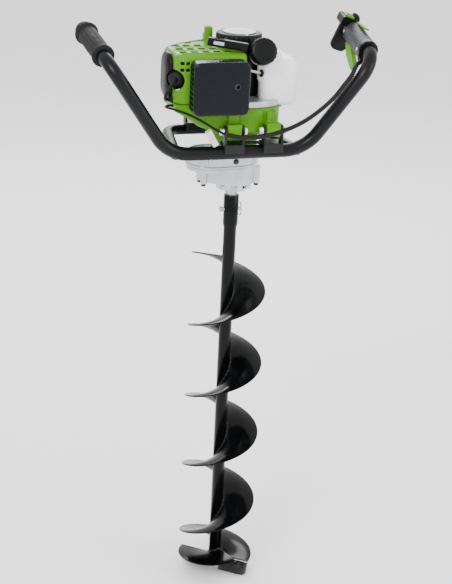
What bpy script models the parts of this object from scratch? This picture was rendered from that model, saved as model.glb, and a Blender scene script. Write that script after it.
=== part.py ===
"""Powered auger: two-stroke power head on a tube frame, reduction gearbox and a 150 mm bit.

World frame: Z up along the bit, Z = 0 at the pilot tip, -Y is the front, +X the throttle side.
Lengths below are in millimetres and become metres when a mesh is made.
"""
import math

import bmesh
import bpy
from mathutils import Matrix, Vector

MM = 0.001
GAP = 0.3
WELD = 0.00001
FLAT = math.radians(0.3)
AXIS_STEPS = 28

# Bit
BIT_R = 75.0
BIT_PITCH = 150.0
BIT_TUBE_R = 12.5
FLIGHT_T = 3.0
FLIGHT_BOTTOM = 30.0
TUBE_BOTTOM = 24.0
FLIGHT_PIECES = 4
FLIGHT_TURNS = 4.525
ENTRY_TURNS = 0.567
ENTRY_RISE = 53.0
SECOND_TURNS = 0.42
SECOND_PITCH = 40.0
LEAD_ANGLE = math.radians(-42)
BLADE_DROP = 28.0
SOCKET_R = 14.5
SOCKET_BOTTOM = 742.0
SOCKET_TOP = 805.0
DRIVE_PIN_Z = 776.0
DRIVE_PIN_R = 4.0

# Gearbox
SHAFT_R = 10.0
FLANGE_R = 29.0
FLANGE_BOTTOM = 817.0
LOWER_BOTTOM = 833.0
SPLIT_Z = 867.0
UPPER_TOP = 894.0
LAY_X = -45.0
GEAR_SIDE_R = 43.0
LAY_UPPER_R = 46.0
LAY_LOWER_R = 18.0
WALL = 4.5
MODULE_1 = 1.5
MODULE_2 = 1.5
DRUM_TEETH = 10
LAY_TEETH = 50
LAY_PINION_TEETH = 12
OUTPUT_TEETH = 48

# Frame
TUBE_R = 12.7
FRAME_X = -20.0
FRAME_Z = 911.0
FRONT_Y = -83.0
REAR_Y = 90.0
HALF_FRONT = 131.0
HALF_REAR = 88.0
REAR_TUBE_R = 10.0
ARM_X = -22.5
ARM_HALF = 248.5
ARM_Y = -118.0
ARM_Z = 1085.0
LOWER_BEND_R = 75.0
UPPER_BEND_R = 44.0
LEFT_HANDLE_DIR = Vector((-0.055, 0.984, 0.168)).normalized()
RIGHT_HANDLE_DIR = Vector((0.08, 0.984, 0.168)).normalized()
HANDLE_REACH = 176.0
GRIP_R = 18.0
GRIP_START = 46.0
GRIP_END = 166.0

# Engine
BASE_R = 81.0
BASE_BOTTOM = 944.0
BASE_TOP = 986.0
CRANKCASE_R = 40.0
CRANKCASE_TOP = 1088.0
CYLINDER_Z = 1046.0
STARTER_R = 43.0
STARTER_TOP = 1118.0
PULL_DIR = Vector((-0.1, -0.995, 0.0)).normalized()
PULL_Z = 1108.0

# Brackets and their bolts.
BRACKET_X = (-30.0, 45.0)
REAR_BRACKET_X = (-52.0, 12.0)
BOLT_Z = 952.0
EAR_OUT = 5.0

# Cylinder cover, spark plug and intake.
CARB_X = -50.0
FILTER_X = -42.0
FILTER_Z = 1028.0
PLUG_DIR = Vector((-0.5, -0.866, 0.0)).normalized()
PLUG_SEAT = Vector((-107.0, -13.0, CYLINDER_Z))
COVER_BOTTOM = 1002.6
COVER_TOP = 1094.0
COVER_BELT = ((-121, -62, 20), (-114, 0, 27), (-50, 46, 22), (-12, 64, 4), (-12, -78, 4))
SHELL = 3.0

# Starter pull and fuel cap.
REEL_LINE = 29.4
PULL_REACH = 70.0
HANDLE_TILT = math.radians(9)
CAP_DIR = Vector((-0.05, -0.93, 0.36)).normalized()
CAP_FRONT = Vector((22.0, -89.0, 1101.0))

# Turn of the throttle handle about its tube.
HANDLE_SPIN = math.radians(20)

# Colours.
LIME = (0.24, 0.50, 0.04)
BLACK = (0.02, 0.02, 0.023)
GLOSS_BLACK = (0.012, 0.012, 0.014)
SILVER = (0.62, 0.63, 0.64)
STEEL = (0.42, 0.42, 0.43)
GREY = (0.11, 0.115, 0.12)
WHITE = (0.78, 0.79, 0.77)
CREAM = (0.75, 0.70, 0.55)


def clear_scene():
    for item in list(bpy.data.objects):
        bpy.data.objects.remove(item, do_unlink=True)
    root = bpy.context.scene.collection
    parts = bpy.data.collections.new("powered_auger")
    cutters = bpy.data.collections.new("cutters")
    root.children.link(parts)
    root.children.link(cutters)
    return parts, cutters


PARTS, CUTTERS = clear_scene()


def surface(name, colour, metallic, roughness):
    """A plain Principled material for one sub-part."""
    made = bpy.data.materials.new(name)
    made.use_nodes = True
    shader = made.node_tree.nodes["Principled BSDF"]
    shader.inputs["Base Color"].default_value = (*colour, 1.0)
    shader.inputs["Metallic"].default_value = metallic
    shader.inputs["Roughness"].default_value = roughness
    return made


def finish(item, colour, metallic=0.0, roughness=0.5):
    """Put an object in the parts collection with its own material."""
    item.data.materials.clear()
    item.data.materials.append(surface(item.name, colour, metallic, roughness))
    PARTS.objects.link(item)
    return item


def as_object(name, grid):
    """Turn a bmesh in millimetres into an unlinked object in metres, faces outward."""
    bmesh.ops.remove_doubles(grid, verts=grid.verts, dist=0.02)
    bmesh.ops.recalc_face_normals(grid, faces=grid.faces)
    bmesh.ops.scale(grid, vec=(MM, MM, MM), verts=grid.verts)
    mesh = bpy.data.meshes.new(name)
    grid.to_mesh(mesh)
    grid.free()
    return bpy.data.objects.new(name, mesh)


def facing(direction, spin=0.0):
    """Rotation that takes +Z onto a direction, keeping local X level."""
    aim = Vector(direction).normalized()
    side = Vector((0, 0, 1)).cross(aim)
    if side.length < 1e-6:
        side = Vector((1, 0, 0))
    side.normalize()
    up = aim.cross(side)
    frame = Matrix((side, up, aim)).transposed().to_4x4()
    return frame @ Matrix.Rotation(spin, 4, "Z")


def placed(grid, centre, direction, spin=0.0):
    """Move a bmesh built along +Z at the origin to a centre and direction."""
    move = Matrix.Translation(Vector(centre)) @ facing(direction, spin)
    bmesh.ops.transform(grid, matrix=move, verts=grid.verts)
    return grid


def lathe(name, profile, centre=(0, 0, 0), direction=(0, 0, 1), steps=AXIS_STEPS):
    """Solid of revolution from a closed (radius, height) outline."""
    grid = bmesh.new()
    rings = []
    for step in range(steps):
        turn = 2 * math.pi * step / steps
        rings.append([grid.verts.new((r * math.cos(turn), r * math.sin(turn), h))
                      for r, h in profile])
    count = len(profile)
    for step in range(steps):
        here, there = rings[step], rings[(step + 1) % steps]
        for index in range(count):
            after = (index + 1) % count
            if profile[index][0] < 1e-6 and profile[after][0] < 1e-6:
                continue
            grid.faces.new((here[index], there[index], there[after], here[after]))
    bmesh.ops.remove_doubles(grid, verts=grid.verts, dist=0.001)
    bmesh.ops.dissolve_degenerate(grid, edges=grid.edges, dist=0.0005)
    return as_object(name, placed(grid, centre, direction))


def rod(name, radius, low, high, centre=(0, 0, 0), direction=(0, 0, 1), edge=0.6, steps=20):
    """Round bar with chamfered ends, from low to high along its direction."""
    outline = [(0, low), (radius - edge, low), (radius, low + edge),
               (radius, high - edge), (radius - edge, high), (0, high)]
    return lathe(name, outline, centre, direction, steps)


def ring(name, inner, outer, low, high, centre=(0, 0, 0), direction=(0, 0, 1), steps=16):
    """Washer or bush with a through bore."""
    edge = min(0.5, (outer - inner) / 4)
    outline = [(inner, low), (outer - edge, low), (outer, low + edge),
               (outer, high - edge), (outer - edge, high), (inner, high)]
    return lathe(name, outline, centre, direction, steps)


def slab(name, outline, low, high, centre=(0, 0, 0), direction=(0, 0, 1), spin=0.0):
    """Flat outline extruded from low to high along its direction."""
    grid = bmesh.new()
    bottom = [grid.verts.new((x, y, low)) for x, y in outline]
    top = [grid.verts.new((x, y, high)) for x, y in outline]
    grid.faces.new(bottom)
    grid.faces.new(top)
    for index in range(len(outline)):
        after = (index + 1) % len(outline)
        grid.faces.new((bottom[index], bottom[after], top[after], top[index]))
    return as_object(name, placed(grid, centre, direction, spin))


def rounded(width, depth, radius, steps=4):
    """Outline of a rounded rectangle centred on the origin."""
    points = []
    for quarter in range(4):
        cx = (width / 2 - radius) * (1 if quarter in (0, 3) else -1)
        cy = (depth / 2 - radius) * (1 if quarter in (0, 1) else -1)
        for step in range(steps + 1):
            turn = math.pi / 2 * (quarter + step / steps)
            points.append((cx + radius * math.cos(turn), cy + radius * math.sin(turn)))
    return points


def wrapped(circles, steps=32):
    """Outline of a belt around two circles given as (x, y, radius)."""
    points = []
    for step in range(steps):
        turn = 2 * math.pi * step / steps
        way = Vector((math.cos(turn), math.sin(turn)))
        best = max(circles, key=lambda c: c[0] * way.x + c[1] * way.y + c[2])
        points.append((best[0] + best[2] * way.x, best[1] + best[2] * way.y))
    return points


def block(name, low, high, radius=3.0, steps=3):
    """Box between two corners, rounded about Z."""
    size = [high[i] - low[i] for i in range(3)]
    centre = [(high[i] + low[i]) / 2 for i in range(3)]
    return slab(name, rounded(size[0], size[1], radius, steps), -size[2] / 2, size[2] / 2, centre)


def soften(item, width, segments=2, angle=40):
    bevel = item.modifiers.new("Bevel", "BEVEL")
    bevel.width = width * MM
    bevel.segments = segments
    bevel.limit_method = "ANGLE"
    bevel.angle_limit = math.radians(angle)
    settle(item)


def settle(item):
    """Apply an object's modifiers to its mesh."""
    linked = not item.users_collection
    if linked:
        CUTTERS.objects.link(item)
    bpy.context.view_layer.update()
    graph = bpy.context.evaluated_depsgraph_get()
    mesh = bpy.data.meshes.new_from_object(item.evaluated_get(graph))
    mesh.name = item.name
    old = item.data
    item.modifiers.clear()
    item.data = mesh
    bpy.data.meshes.remove(old)
    if linked:
        CUTTERS.objects.unlink(item)


def faceted(item):
    """Weld and triangulate a mesh so that every face is truly flat."""
    grid = bmesh.new()
    grid.from_mesh(item.data)
    bmesh.ops.remove_doubles(grid, verts=grid.verts, dist=WELD)
    bmesh.ops.dissolve_degenerate(grid, edges=grid.edges, dist=WELD)
    bmesh.ops.dissolve_limit(grid, verts=grid.verts, edges=grid.edges, angle_limit=FLAT)
    bmesh.ops.triangulate(grid, faces=grid.faces)
    grid.to_mesh(item.data)
    grid.free()


def combine(item, other, operation):
    """Exact Boolean of one object by another, which is then removed."""
    faceted(item)
    faceted(other)
    CUTTERS.objects.link(other)
    change = item.modifiers.new("Boolean", "BOOLEAN")
    change.object = other
    change.operation = operation
    change.solver = "EXACT"
    settle(item)
    faceted(item)
    mesh = other.data
    bpy.data.objects.remove(other, do_unlink=True)
    bpy.data.meshes.remove(mesh)
    return item


def cut(item, *tools):
    for tool in tools:
        combine(item, tool, "DIFFERENCE")
    return item


def join(item, *others):
    for other in others:
        combine(item, other, "UNION")
    return item


def corner_path(corners, radii, spacing=12.0):
    """Polyline that rounds each inner corner with an arc of its radius."""
    path = [Vector(corners[0])]
    for index in range(1, len(corners) - 1):
        here = Vector(corners[index])
        back = (Vector(corners[index - 1]) - here).normalized()
        ahead = (Vector(corners[index + 1]) - here).normalized()
        half = back.angle(ahead) / 2
        radius = radii[index - 1]
        setback = radius / math.tan(half)
        centre = here + (back + ahead).normalized() * (radius / math.sin(half))
        start = here + back * setback - centre
        finish_at = here + ahead * setback - centre
        sweep = start.angle(finish_at)
        steps = max(3, round(radius * sweep / spacing))
        for step in range(steps + 1):
            share = step / steps
            blend = (start * math.sin((1 - share) * sweep)
                     + finish_at * math.sin(share * sweep)) / math.sin(sweep)
            path.append(centre + blend)
    path.append(Vector(corners[-1]))
    return path


def smooth_path(points, spacing):
    """Evenly spaced points on a smooth curve through the given points."""
    nodes = [Vector(p) for p in points]
    nodes = [nodes[0] * 2 - nodes[1]] + nodes + [nodes[-1] * 2 - nodes[-2]]
    fine = []
    for index in range(1, len(nodes) - 2):
        a, b, c, d = nodes[index - 1:index + 3]
        for step in range(40):
            t = step / 40
            fine.append(0.5 * (2 * b + (c - a) * t + (2 * a - 5 * b + 4 * c - d) * t * t
                               + (3 * b - a - 3 * c + d) * t ** 3))
    fine.append(nodes[-2])
    length = sum((fine[i + 1] - fine[i]).length for i in range(len(fine) - 1))
    count = max(2, round(length / spacing))
    wanted = [length * i / count for i in range(count + 1)]
    path, travelled, index = [fine[0]], 0.0, 0
    for target in wanted[1:-1]:
        while travelled + (fine[index + 1] - fine[index]).length < target:
            travelled += (fine[index + 1] - fine[index]).length
            index += 1
        share = (target - travelled) / (fine[index + 1] - fine[index]).length
        path.append(fine[index].lerp(fine[index + 1], share))
    path.append(fine[-1])
    return path


def tube(name, path, radius, resolution=2):
    """Round tube along a path, as a curve turned into a mesh."""
    curve = bpy.data.curves.new(name, "CURVE")
    curve.dimensions = "3D"
    curve.bevel_depth = radius * MM
    curve.bevel_resolution = resolution
    curve.use_fill_caps = True
    line = curve.splines.new("POLY")
    line.points.add(len(path) - 1)
    for point, place in zip(line.points, path):
        point.co = (*(Vector(place) * MM), 1.0)
    item = bpy.data.objects.new(name, curve)
    CUTTERS.objects.link(item)
    bpy.context.view_layer.update()
    graph = bpy.context.evaluated_depsgraph_get()
    mesh = bpy.data.meshes.new_from_object(item.evaluated_get(graph))
    bpy.data.objects.remove(item, do_unlink=True)
    bpy.data.curves.remove(curve)
    grid = bmesh.new()
    grid.from_mesh(mesh)
    bpy.data.meshes.remove(mesh)
    bmesh.ops.scale(grid, vec=(1 / MM, 1 / MM, 1 / MM), verts=grid.verts)
    return as_object(name, grid)


def tooth_outline(teeth, module, gap_at_zero=False, backlash=0.14):
    """Involute gear outline, with a tooth or a gap centred on local +X."""
    pressure = math.radians(20)
    pitch_r = module * teeth / 2
    base_r = pitch_r * math.cos(pressure)
    tip_r = pitch_r + 0.8 * module
    root_r = pitch_r - 1.1 * module
    inv = math.tan(pressure) - pressure
    half_tooth = math.pi / (2 * teeth) * (1 - backlash)

    def half_angle(radius):
        if radius <= base_r:
            return half_tooth + inv
        lean = math.acos(base_r / radius)
        return half_tooth + inv - (math.tan(lean) - lean)

    flank = sorted({root_r, max(root_r, base_r), pitch_r, tip_r})
    if teeth >= 40:
        flank = [root_r, tip_r]
    points = []
    for tooth in range(teeth):
        middle = 2 * math.pi * (tooth + (0.5 if gap_at_zero else 0.0)) / teeth
        for radius in flank:
            turn = middle - half_angle(radius)
            points.append((radius * math.cos(turn), radius * math.sin(turn)))
        for radius in reversed(flank):
            turn = middle + half_angle(radius)
            points.append((radius * math.cos(turn), radius * math.sin(turn)))
    return points


def flight_height(turns):
    """Height of the main flight: a flatter entry that eases into the full pitch."""
    if turns >= ENTRY_TURNS:
        return FLIGHT_BOTTOM + ENTRY_RISE + BIT_PITCH * (turns - ENTRY_TURNS)
    first = 2 * ENTRY_RISE / ENTRY_TURNS - BIT_PITCH
    growth = (BIT_PITCH - first) / (2 * ENTRY_TURNS)
    return FLIGHT_BOTTOM + first * turns + growth * turns * turns


def second_height(turns):
    return FLIGHT_BOTTOM + SECOND_PITCH * turns


def helix_plate(name, start, end, phase, height, trim=0.0005, steps_per_turn=28):
    """Screw flight from one turn count to another, with a fixed vertical thickness."""
    inner, outer = BIT_TUBE_R + 0.35, BIT_R
    grid = bmesh.new()
    steps = max(4, round((end - start) * steps_per_turn))
    sections = []
    for step in range(steps + 1):
        turn_count = start + trim + (end - start - 2 * trim) * step / steps
        turn = phase + 2 * math.pi * turn_count
        z = height(turn_count)
        section = []
        for radius, lift in ((inner, 0), (outer, 0), (outer, FLIGHT_T), (inner, FLIGHT_T)):
            section.append(grid.verts.new((radius * math.cos(turn), radius * math.sin(turn),
                                           z + lift)))
        sections.append(section)
    for here, there in zip(sections, sections[1:]):
        for index in range(4):
            after = (index + 1) % 4
            grid.faces.new((here[index], here[after], there[after], there[index]))
    grid.faces.new(sections[0])
    grid.faces.new(sections[-1])
    return as_object(name, grid)


def build_bit():
    """Auger bit: socketed tube, welded flight turns, second half flight, blades and pilot."""
    outline = [(0, TUBE_BOTTOM), (BIT_TUBE_R, TUBE_BOTTOM), (BIT_TUBE_R, SOCKET_BOTTOM - 3),
               (SOCKET_R, SOCKET_BOTTOM + 4), (SOCKET_R, SOCKET_TOP - 0.8),
               (SOCKET_R - 0.8, SOCKET_TOP), (SHAFT_R + GAP, SOCKET_TOP),
               (SHAFT_R + GAP, SOCKET_BOTTOM + 2), (0, SOCKET_BOTTOM + 2)]
    shank = lathe("bit_tube", outline, steps=18)
    cut(shank, rod("hole", DRIVE_PIN_R + GAP, -30, 30, (0, 0, DRIVE_PIN_Z), (1, 0, 0), 0.1, 16))
    finish(shank, GLOSS_BLACK, 0.3, 0.25)
    share = FLIGHT_TURNS / FLIGHT_PIECES
    for piece in range(FLIGHT_PIECES):
        flight = helix_plate(f"flight_{piece + 1}", piece * share, (piece + 1) * share,
                             LEAD_ANGLE, flight_height)
        finish(flight, GLOSS_BLACK, 0.3, 0.2)
    second = helix_plate("second_flight", 0.0, SECOND_TURNS, LEAD_ANGLE + math.pi, second_height)
    finish(second, GLOSS_BLACK, 0.3, 0.2)
    for name, phase in (("cutter_main", LEAD_ANGLE), ("cutter_second", LEAD_ANGLE + math.pi)):
        finish(cutter_blade(name, phase), GLOSS_BLACK, 0.4, 0.3)
    pilot = [(0, 23.7), (0, 0), (3.2, 7), (4.5, 9), (6, 15), (9, 17), (9, 23.7)]
    finish(lathe("pilot_point", pilot, steps=12), GLOSS_BLACK, 0.4, 0.3)
    finish(rod("drive_pin", DRIVE_PIN_R - 0.05, -21, 19, (0, 0, DRIVE_PIN_Z), (1, 0, 0), 0.6, 16),
           STEEL, 1.0, 0.3)
    clip = [Vector((0, math.cos(a), math.sin(a))) * 13 for a in
            (2 * math.pi * i / 20 for i in range(18))]
    clip = [Vector((17.0, 0, DRIVE_PIN_Z)) + point for point in clip]
    finish(tube("pin_ring", clip, 1.0, 1), STEEL, 1.0, 0.25)


def cutter_blade(name, phase):
    """Replaceable steel blade below the leading edge of a flight, edge downward."""
    length = BIT_R - BIT_TUBE_R - 1.5
    outline = [(0, 0), (length, 0), (length, BLADE_DROP - 4), (length - 8, BLADE_DROP),
               (0, BLADE_DROP)]
    grid = bmesh.new()
    low = [grid.verts.new((BIT_TUBE_R + 1.2 + x, 0, -y)) for x, y in outline]
    high = [grid.verts.new((BIT_TUBE_R + 1.2 + x, 4.0, -y)) for x, y in outline]
    grid.faces.new(low)
    grid.faces.new(high)
    for index in range(len(outline)):
        after = (index + 1) % len(outline)
        grid.faces.new((low[index], low[after], high[after], high[index]))
    tilt = Matrix.Rotation(math.radians(-25), 4, "X")
    lift = Matrix.Translation((0, -1.0, FLIGHT_BOTTOM - 0.6))
    turn = Matrix.Rotation(phase, 4, "Z")
    bmesh.ops.transform(grid, matrix=turn @ lift @ tilt, verts=grid.verts)
    return as_object(name, grid)


def build_gearbox():
    """Two stage reduction with input and output on one axis and a lay shaft beside it."""
    upper = slab("gearbox_upper", wrapped([(LAY_X, 0, LAY_UPPER_R), (0, 0, GEAR_SIDE_R)]),
                 SPLIT_Z + GAP, UPPER_TOP)
    soften(upper, 2.5)
    join(upper, rod("neck", 15, UPPER_TOP - 6, 912, edge=1))
    cut(upper,
        slab("room", wrapped([(LAY_X, 0, LAY_UPPER_R - WALL), (0, 0, GEAR_SIDE_R - WALL)]),
             SPLIT_Z + 5, UPPER_TOP - 5),
        slab("mouth", wrapped([(LAY_X, 0, LAY_LOWER_R - WALL), (0, 0, GEAR_SIDE_R - WALL)]),
             SPLIT_Z - 5, SPLIT_Z + 8),
        rod("bore", 11.3, 880, 920, edge=0.1))
    finish(upper, SILVER, 0.9, 0.45)

    lower = slab("gearbox_lower", wrapped([(LAY_X, 0, LAY_LOWER_R), (0, 0, GEAR_SIDE_R)]),
                 LOWER_BOTTOM, SPLIT_Z)
    soften(lower, 2.5)
    join(lower, rod("flange", FLANGE_R, FLANGE_BOTTOM, LOWER_BOTTOM + 5, edge=1.5))
    for x, y in ((41, -21), (41, 21), (-61, -14), (-61, 14)):
        join(lower, rod("boss", 6.5, LOWER_BOTTOM - 1, SPLIT_Z, (x, y, 0), edge=0.8, steps=16))
    cut(lower,
        slab("room", wrapped([(LAY_X, 0, LAY_LOWER_R - WALL), (0, 0, GEAR_SIDE_R - WALL)]),
             LOWER_BOTTOM + 5, SPLIT_Z + 4),
        rod("bore", 16.3, FLANGE_BOTTOM - 4, LOWER_BOTTOM + 9, edge=0.1))
    finish(lower, SILVER, 0.9, 0.45)

    shaft = [(0, SOCKET_BOTTOM + 4), (SHAFT_R - 1, SOCKET_BOTTOM + 4), (SHAFT_R, SOCKET_BOTTOM + 5),
             (SHAFT_R, 838), (13, 838), (13, 851.5), (SHAFT_R, 851.5), (SHAFT_R, 865), (0, 865)]
    output = lathe("output_shaft", shaft, steps=18)
    cut(output, rod("hole", DRIVE_PIN_R + GAP, -30, 30, (0, 0, DRIVE_PIN_Z), (1, 0, 0), 0.1, 16))
    finish(output, STEEL, 1.0, 0.3)
    finish(ring("output_bearing", SHAFT_R + 0.3, 16, 824, 836), STEEL, 1.0, 0.25)
    finish(ring("oil_seal", SHAFT_R + 0.3, 16, FLANGE_BOTTOM + 0.4, 823.6), BLACK, 0, 0.7)

    wheel = slab("output_gear", tooth_outline(OUTPUT_TEETH, MODULE_2, True), 852, 863)
    cut(wheel, rod("bore", SHAFT_R + GAP, 845, 870, edge=0.1))
    finish(wheel, STEEL, 1.0, 0.35)

    lay = rod("intermediate_shaft", 6, 838.6, 888.4, (LAY_X, 0, 0))
    join(lay, slab("teeth", tooth_outline(LAY_PINION_TEETH, MODULE_2), 851, 864, (LAY_X, 0, 0)))
    finish(lay, STEEL, 1.0, 0.3)
    big = slab("intermediate_gear", tooth_outline(LAY_TEETH, MODULE_1, True, 0.2), 876.5, 884.5,
               (LAY_X, 0, 0))
    cut(big, rod("bore", 6.3, 870, 890, (LAY_X, 0, 0), edge=0.1))
    finish(big, STEEL, 1.0, 0.35)

    drum = lathe("clutch_drum", [(0, 924), (26, 924), (27, 925), (27, 942), (25, 942),
                                 (25, 927), (0, 927)])
    join(drum, rod("stem", 4.5, 874.5, 925.5, edge=0.2, steps=20),
         slab("teeth", tooth_outline(DRUM_TEETH, MODULE_1, False, 0.2), 875, 886))
    finish(drum, STEEL, 1.0, 0.4)
    finish(ring("drum_bearing", 4.75, 11, 900.5, 911.5), STEEL, 1.0, 0.25)


def frame_corners():
    left_end = Vector((ARM_X - ARM_HALF, ARM_Y, ARM_Z))
    right_end = Vector((ARM_X + ARM_HALF, ARM_Y, ARM_Z))
    return [left_end + LEFT_HANDLE_DIR * HANDLE_REACH, left_end,
            (FRAME_X - HALF_FRONT, FRONT_Y, FRAME_Z), (FRAME_X + HALF_FRONT, FRONT_Y, FRAME_Z),
            right_end, right_end + RIGHT_HANDLE_DIR * HANDLE_REACH]


def handle_point(side, along):
    """Point on a handle's axis; side is -1 for left and 1 for right."""
    start = Vector((ARM_X + side * ARM_HALF, ARM_Y, ARM_Z))
    return start + (RIGHT_HANDLE_DIR if side > 0 else LEFT_HANDLE_DIR) * along


def bracket(name, y, tube_r, front, middles):
    """Saddle over a frame tube with pairs of ears that carry the engine's lugs."""
    toward = -1 if front else 1
    clear = tube_r + 0.35
    strip_low = FRAME_Z + tube_r + 1
    strip = block(name, (middles[0] - 22, min(y, y - toward * 12), strip_low),
                  (middles[1] + 21, max(y, y - toward * 12), strip_low + 4), 2)
    for middle in middles:
        saddle = block("saddle", (middle - 19, y - clear - 4, FRAME_Z + 1),
                       (middle + 19, y + clear + 4, strip_low + 4.5), 2)
        join(strip, saddle)
        for side in (-1, 1):
            outline = [(10, 0), (-6, 0), (-6, 33), (-3, 38), (4, 38), (10, 30)]
            ear = slab("ear", [(toward * u, v) for u, v in outline], -2.2, 2.2,
                       (middle + side * 16.8, y + toward * EAR_OUT, strip_low), (1, 0, 0))
            join(strip, ear)
    cut(strip, rod("seat", clear, -200, 200, (0, y, FRAME_Z), (1, 0, 0), 0.1, 24))
    for middle in middles:
        cut(strip, rod("hole", 4.3, -25, 25, (middle, y + toward * EAR_OUT, BOLT_Z), (1, 0, 0),
                       0.1, 14))
    return strip


def build_frame():
    """Bent handlebar, rear hoop, engine brackets, their bolts and the left grip."""
    corners = frame_corners()
    bar = tube("handlebar", corner_path(corners, [UPPER_BEND_R, LOWER_BEND_R, LOWER_BEND_R,
                                                  UPPER_BEND_R], 18.0), TUBE_R, 3)
    finish(bar, BLACK, 0.4, 0.35)
    hoop_corners = [(FRAME_X - HALF_FRONT + 14, FRONT_Y - 2, FRAME_Z),
                    (FRAME_X - HALF_REAR, REAR_Y, FRAME_Z), (FRAME_X + HALF_REAR, REAR_Y, FRAME_Z),
                    (FRAME_X + HALF_FRONT - 14, FRONT_Y - 2, FRAME_Z)]
    hoop = tube("rear_frame", corner_path(hoop_corners, [28, 28], 10.0), REAR_TUBE_R, 3)
    cut(hoop, tube("cope", corner_path(corners, [UPPER_BEND_R, LOWER_BEND_R, LOWER_BEND_R,
                                                 UPPER_BEND_R], 18.0), TUBE_R + 0.4, 3))
    finish(hoop, BLACK, 0.4, 0.35)
    finish(bracket("front_bracket", FRONT_Y, TUBE_R, True, BRACKET_X), BLACK, 0.4, 0.4)
    finish(bracket("rear_bracket", REAR_Y, REAR_TUBE_R, False, REAR_BRACKET_X), BLACK, 0.4, 0.4)
    for name, middle in (("front_bolt_left", BRACKET_X[0]), ("front_bolt_right", BRACKET_X[1])):
        bolt = rod(name, 4.0, -22, 25, (middle, FRONT_Y - EAR_OUT, BOLT_Z), (1, 0, 0), 0.5, 14)
        head = slab("head", [(7 * math.cos(math.pi * i / 3), 7 * math.sin(math.pi * i / 3))
                             for i in range(6)], -25, -19.4, (middle, FRONT_Y - EAR_OUT, BOLT_Z),
                    (1, 0, 0))
        finish(join(bolt, head), SILVER, 1.0, 0.3)
    inner = TUBE_R + 0.35
    grip = [(inner, GRIP_START), (GRIP_R + 2, GRIP_START), (GRIP_R + 3, GRIP_START + 2),
            (GRIP_R + 2, GRIP_START + 5), (GRIP_R, GRIP_START + 8), (GRIP_R, GRIP_END - 14),
            (GRIP_R + 4, GRIP_END - 12), (GRIP_R + 4, GRIP_END - 8), (GRIP_R, GRIP_END - 5),
            (GRIP_R - 1, HANDLE_REACH + 3), (GRIP_R - 4, HANDLE_REACH + 4.5), (0, HANDLE_REACH + 4.5),
            (0, HANDLE_REACH + GAP), (inner, HANDLE_REACH + GAP)]
    finish(lathe("left_grip", grip, handle_point(-1, 0), LEFT_HANDLE_DIR, 20), BLACK, 0, 0.7)


def build_engine_base():
    """Fan housing with lugs, flywheel fan, crankshaft and clutch hub."""
    base = rod("fan_housing", BASE_R, BASE_BOTTOM, BASE_TOP, edge=4, steps=32)
    join(base, rod("neck", 43, UPPER_TOP + GAP, BASE_BOTTOM + 5, edge=1))
    duct = [(-20, BASE_BOTTOM + 6), (-73, BASE_BOTTOM + 6), (-130, 984), (-139.5, 989),
            (-139.5, 1002), (-88, 1002), (-88, BASE_TOP - 2), (-20, BASE_TOP - 2)]
    duct = slab("duct", [(-x, z) for x, z in duct], -78, 50, (0, 0, 0), (0, 1, 0))
    cut(duct, slab("corner", [(-160, 4), (-139.5, 4), (-126, 22), (-84, 46), (-78, 60), (-160, 60)],
                   940, 1010))
    join(base, duct)
    for y, toward, middles in ((FRONT_Y, -1, BRACKET_X), (REAR_Y, 1, REAR_BRACKET_X)):
        for middle in middles:
            edge = y + toward * (EAR_OUT + 9)
            join(base, block("lug", (middle - 14, min(edge, 0), BASE_BOTTOM - 3),
                             (middle + 14, max(edge, 0), BASE_BOTTOM + 22), 3))
        for middle in middles:
            cut(base, rod("hole", 4.3, -28, 28, (middle, y + toward * EAR_OUT, BOLT_Z), (1, 0, 0),
                          0.1, 14))
    cut(base, rod("fan_room", 68, BASE_BOTTOM + 3.4, BASE_TOP + 12, edge=0.1, steps=26),
        rod("clutch_room", 31, 880, BASE_BOTTOM + 12, edge=0.1),
        block("duct_room", (-132, -66, 992), (-92, 6, 1010), 4),
        rod("cable_hole", 3.2, -20, 20, (-140, -60, 997), (1, 0, 0), 0.1, 14))
    finish(base, LIME, 0, 0.4)

    fan = rod("flywheel_fan", 62, 950, 954, edge=0.5, steps=24)
    blades = []
    for index in range(12):
        turn = 2 * math.pi * index / 12
        for radius, offset in ((18, -0.24), (60, -0.03), (60, 0.03), (18, 0.1)):
            blades.append((radius * math.cos(turn + offset), radius * math.sin(turn + offset)))
    join(fan, slab("blades", blades, 953, 974))
    cut(fan, rod("bore", 8.3, 940, 980, edge=0.1))
    finish(fan, SILVER, 0.8, 0.5)

    shaft = rod("crankshaft", 8, 946, 1022, edge=0.5)
    join(shaft, rod("nose", 5.5, 929, 948, edge=0.3), rod("web_low", 29, 1021, 1031, edge=0.6),
         rod("crank_pin", 6, 1030, 1056, (15, 0, 0), edge=0.1, steps=16),
         rod("web_high", 29, 1055, 1065, edge=0.6), rod("tail", 8, 1064, 1092, edge=0.5))
    finish(shaft, STEEL, 1.0, 0.3)
    shoe = rod("clutch_hub", 24, 930, 941, edge=0.5)
    cut(shoe, rod("bore", 5.8, 920, 950, edge=0.1),
        block("slot_a", (-2, 12, 925), (2, 30, 950), 0.5),
        block("slot_b", (-2, -30, 925), (2, -12, 950), 0.5))
    finish(shoe, STEEL, 0.9, 0.5)


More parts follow.
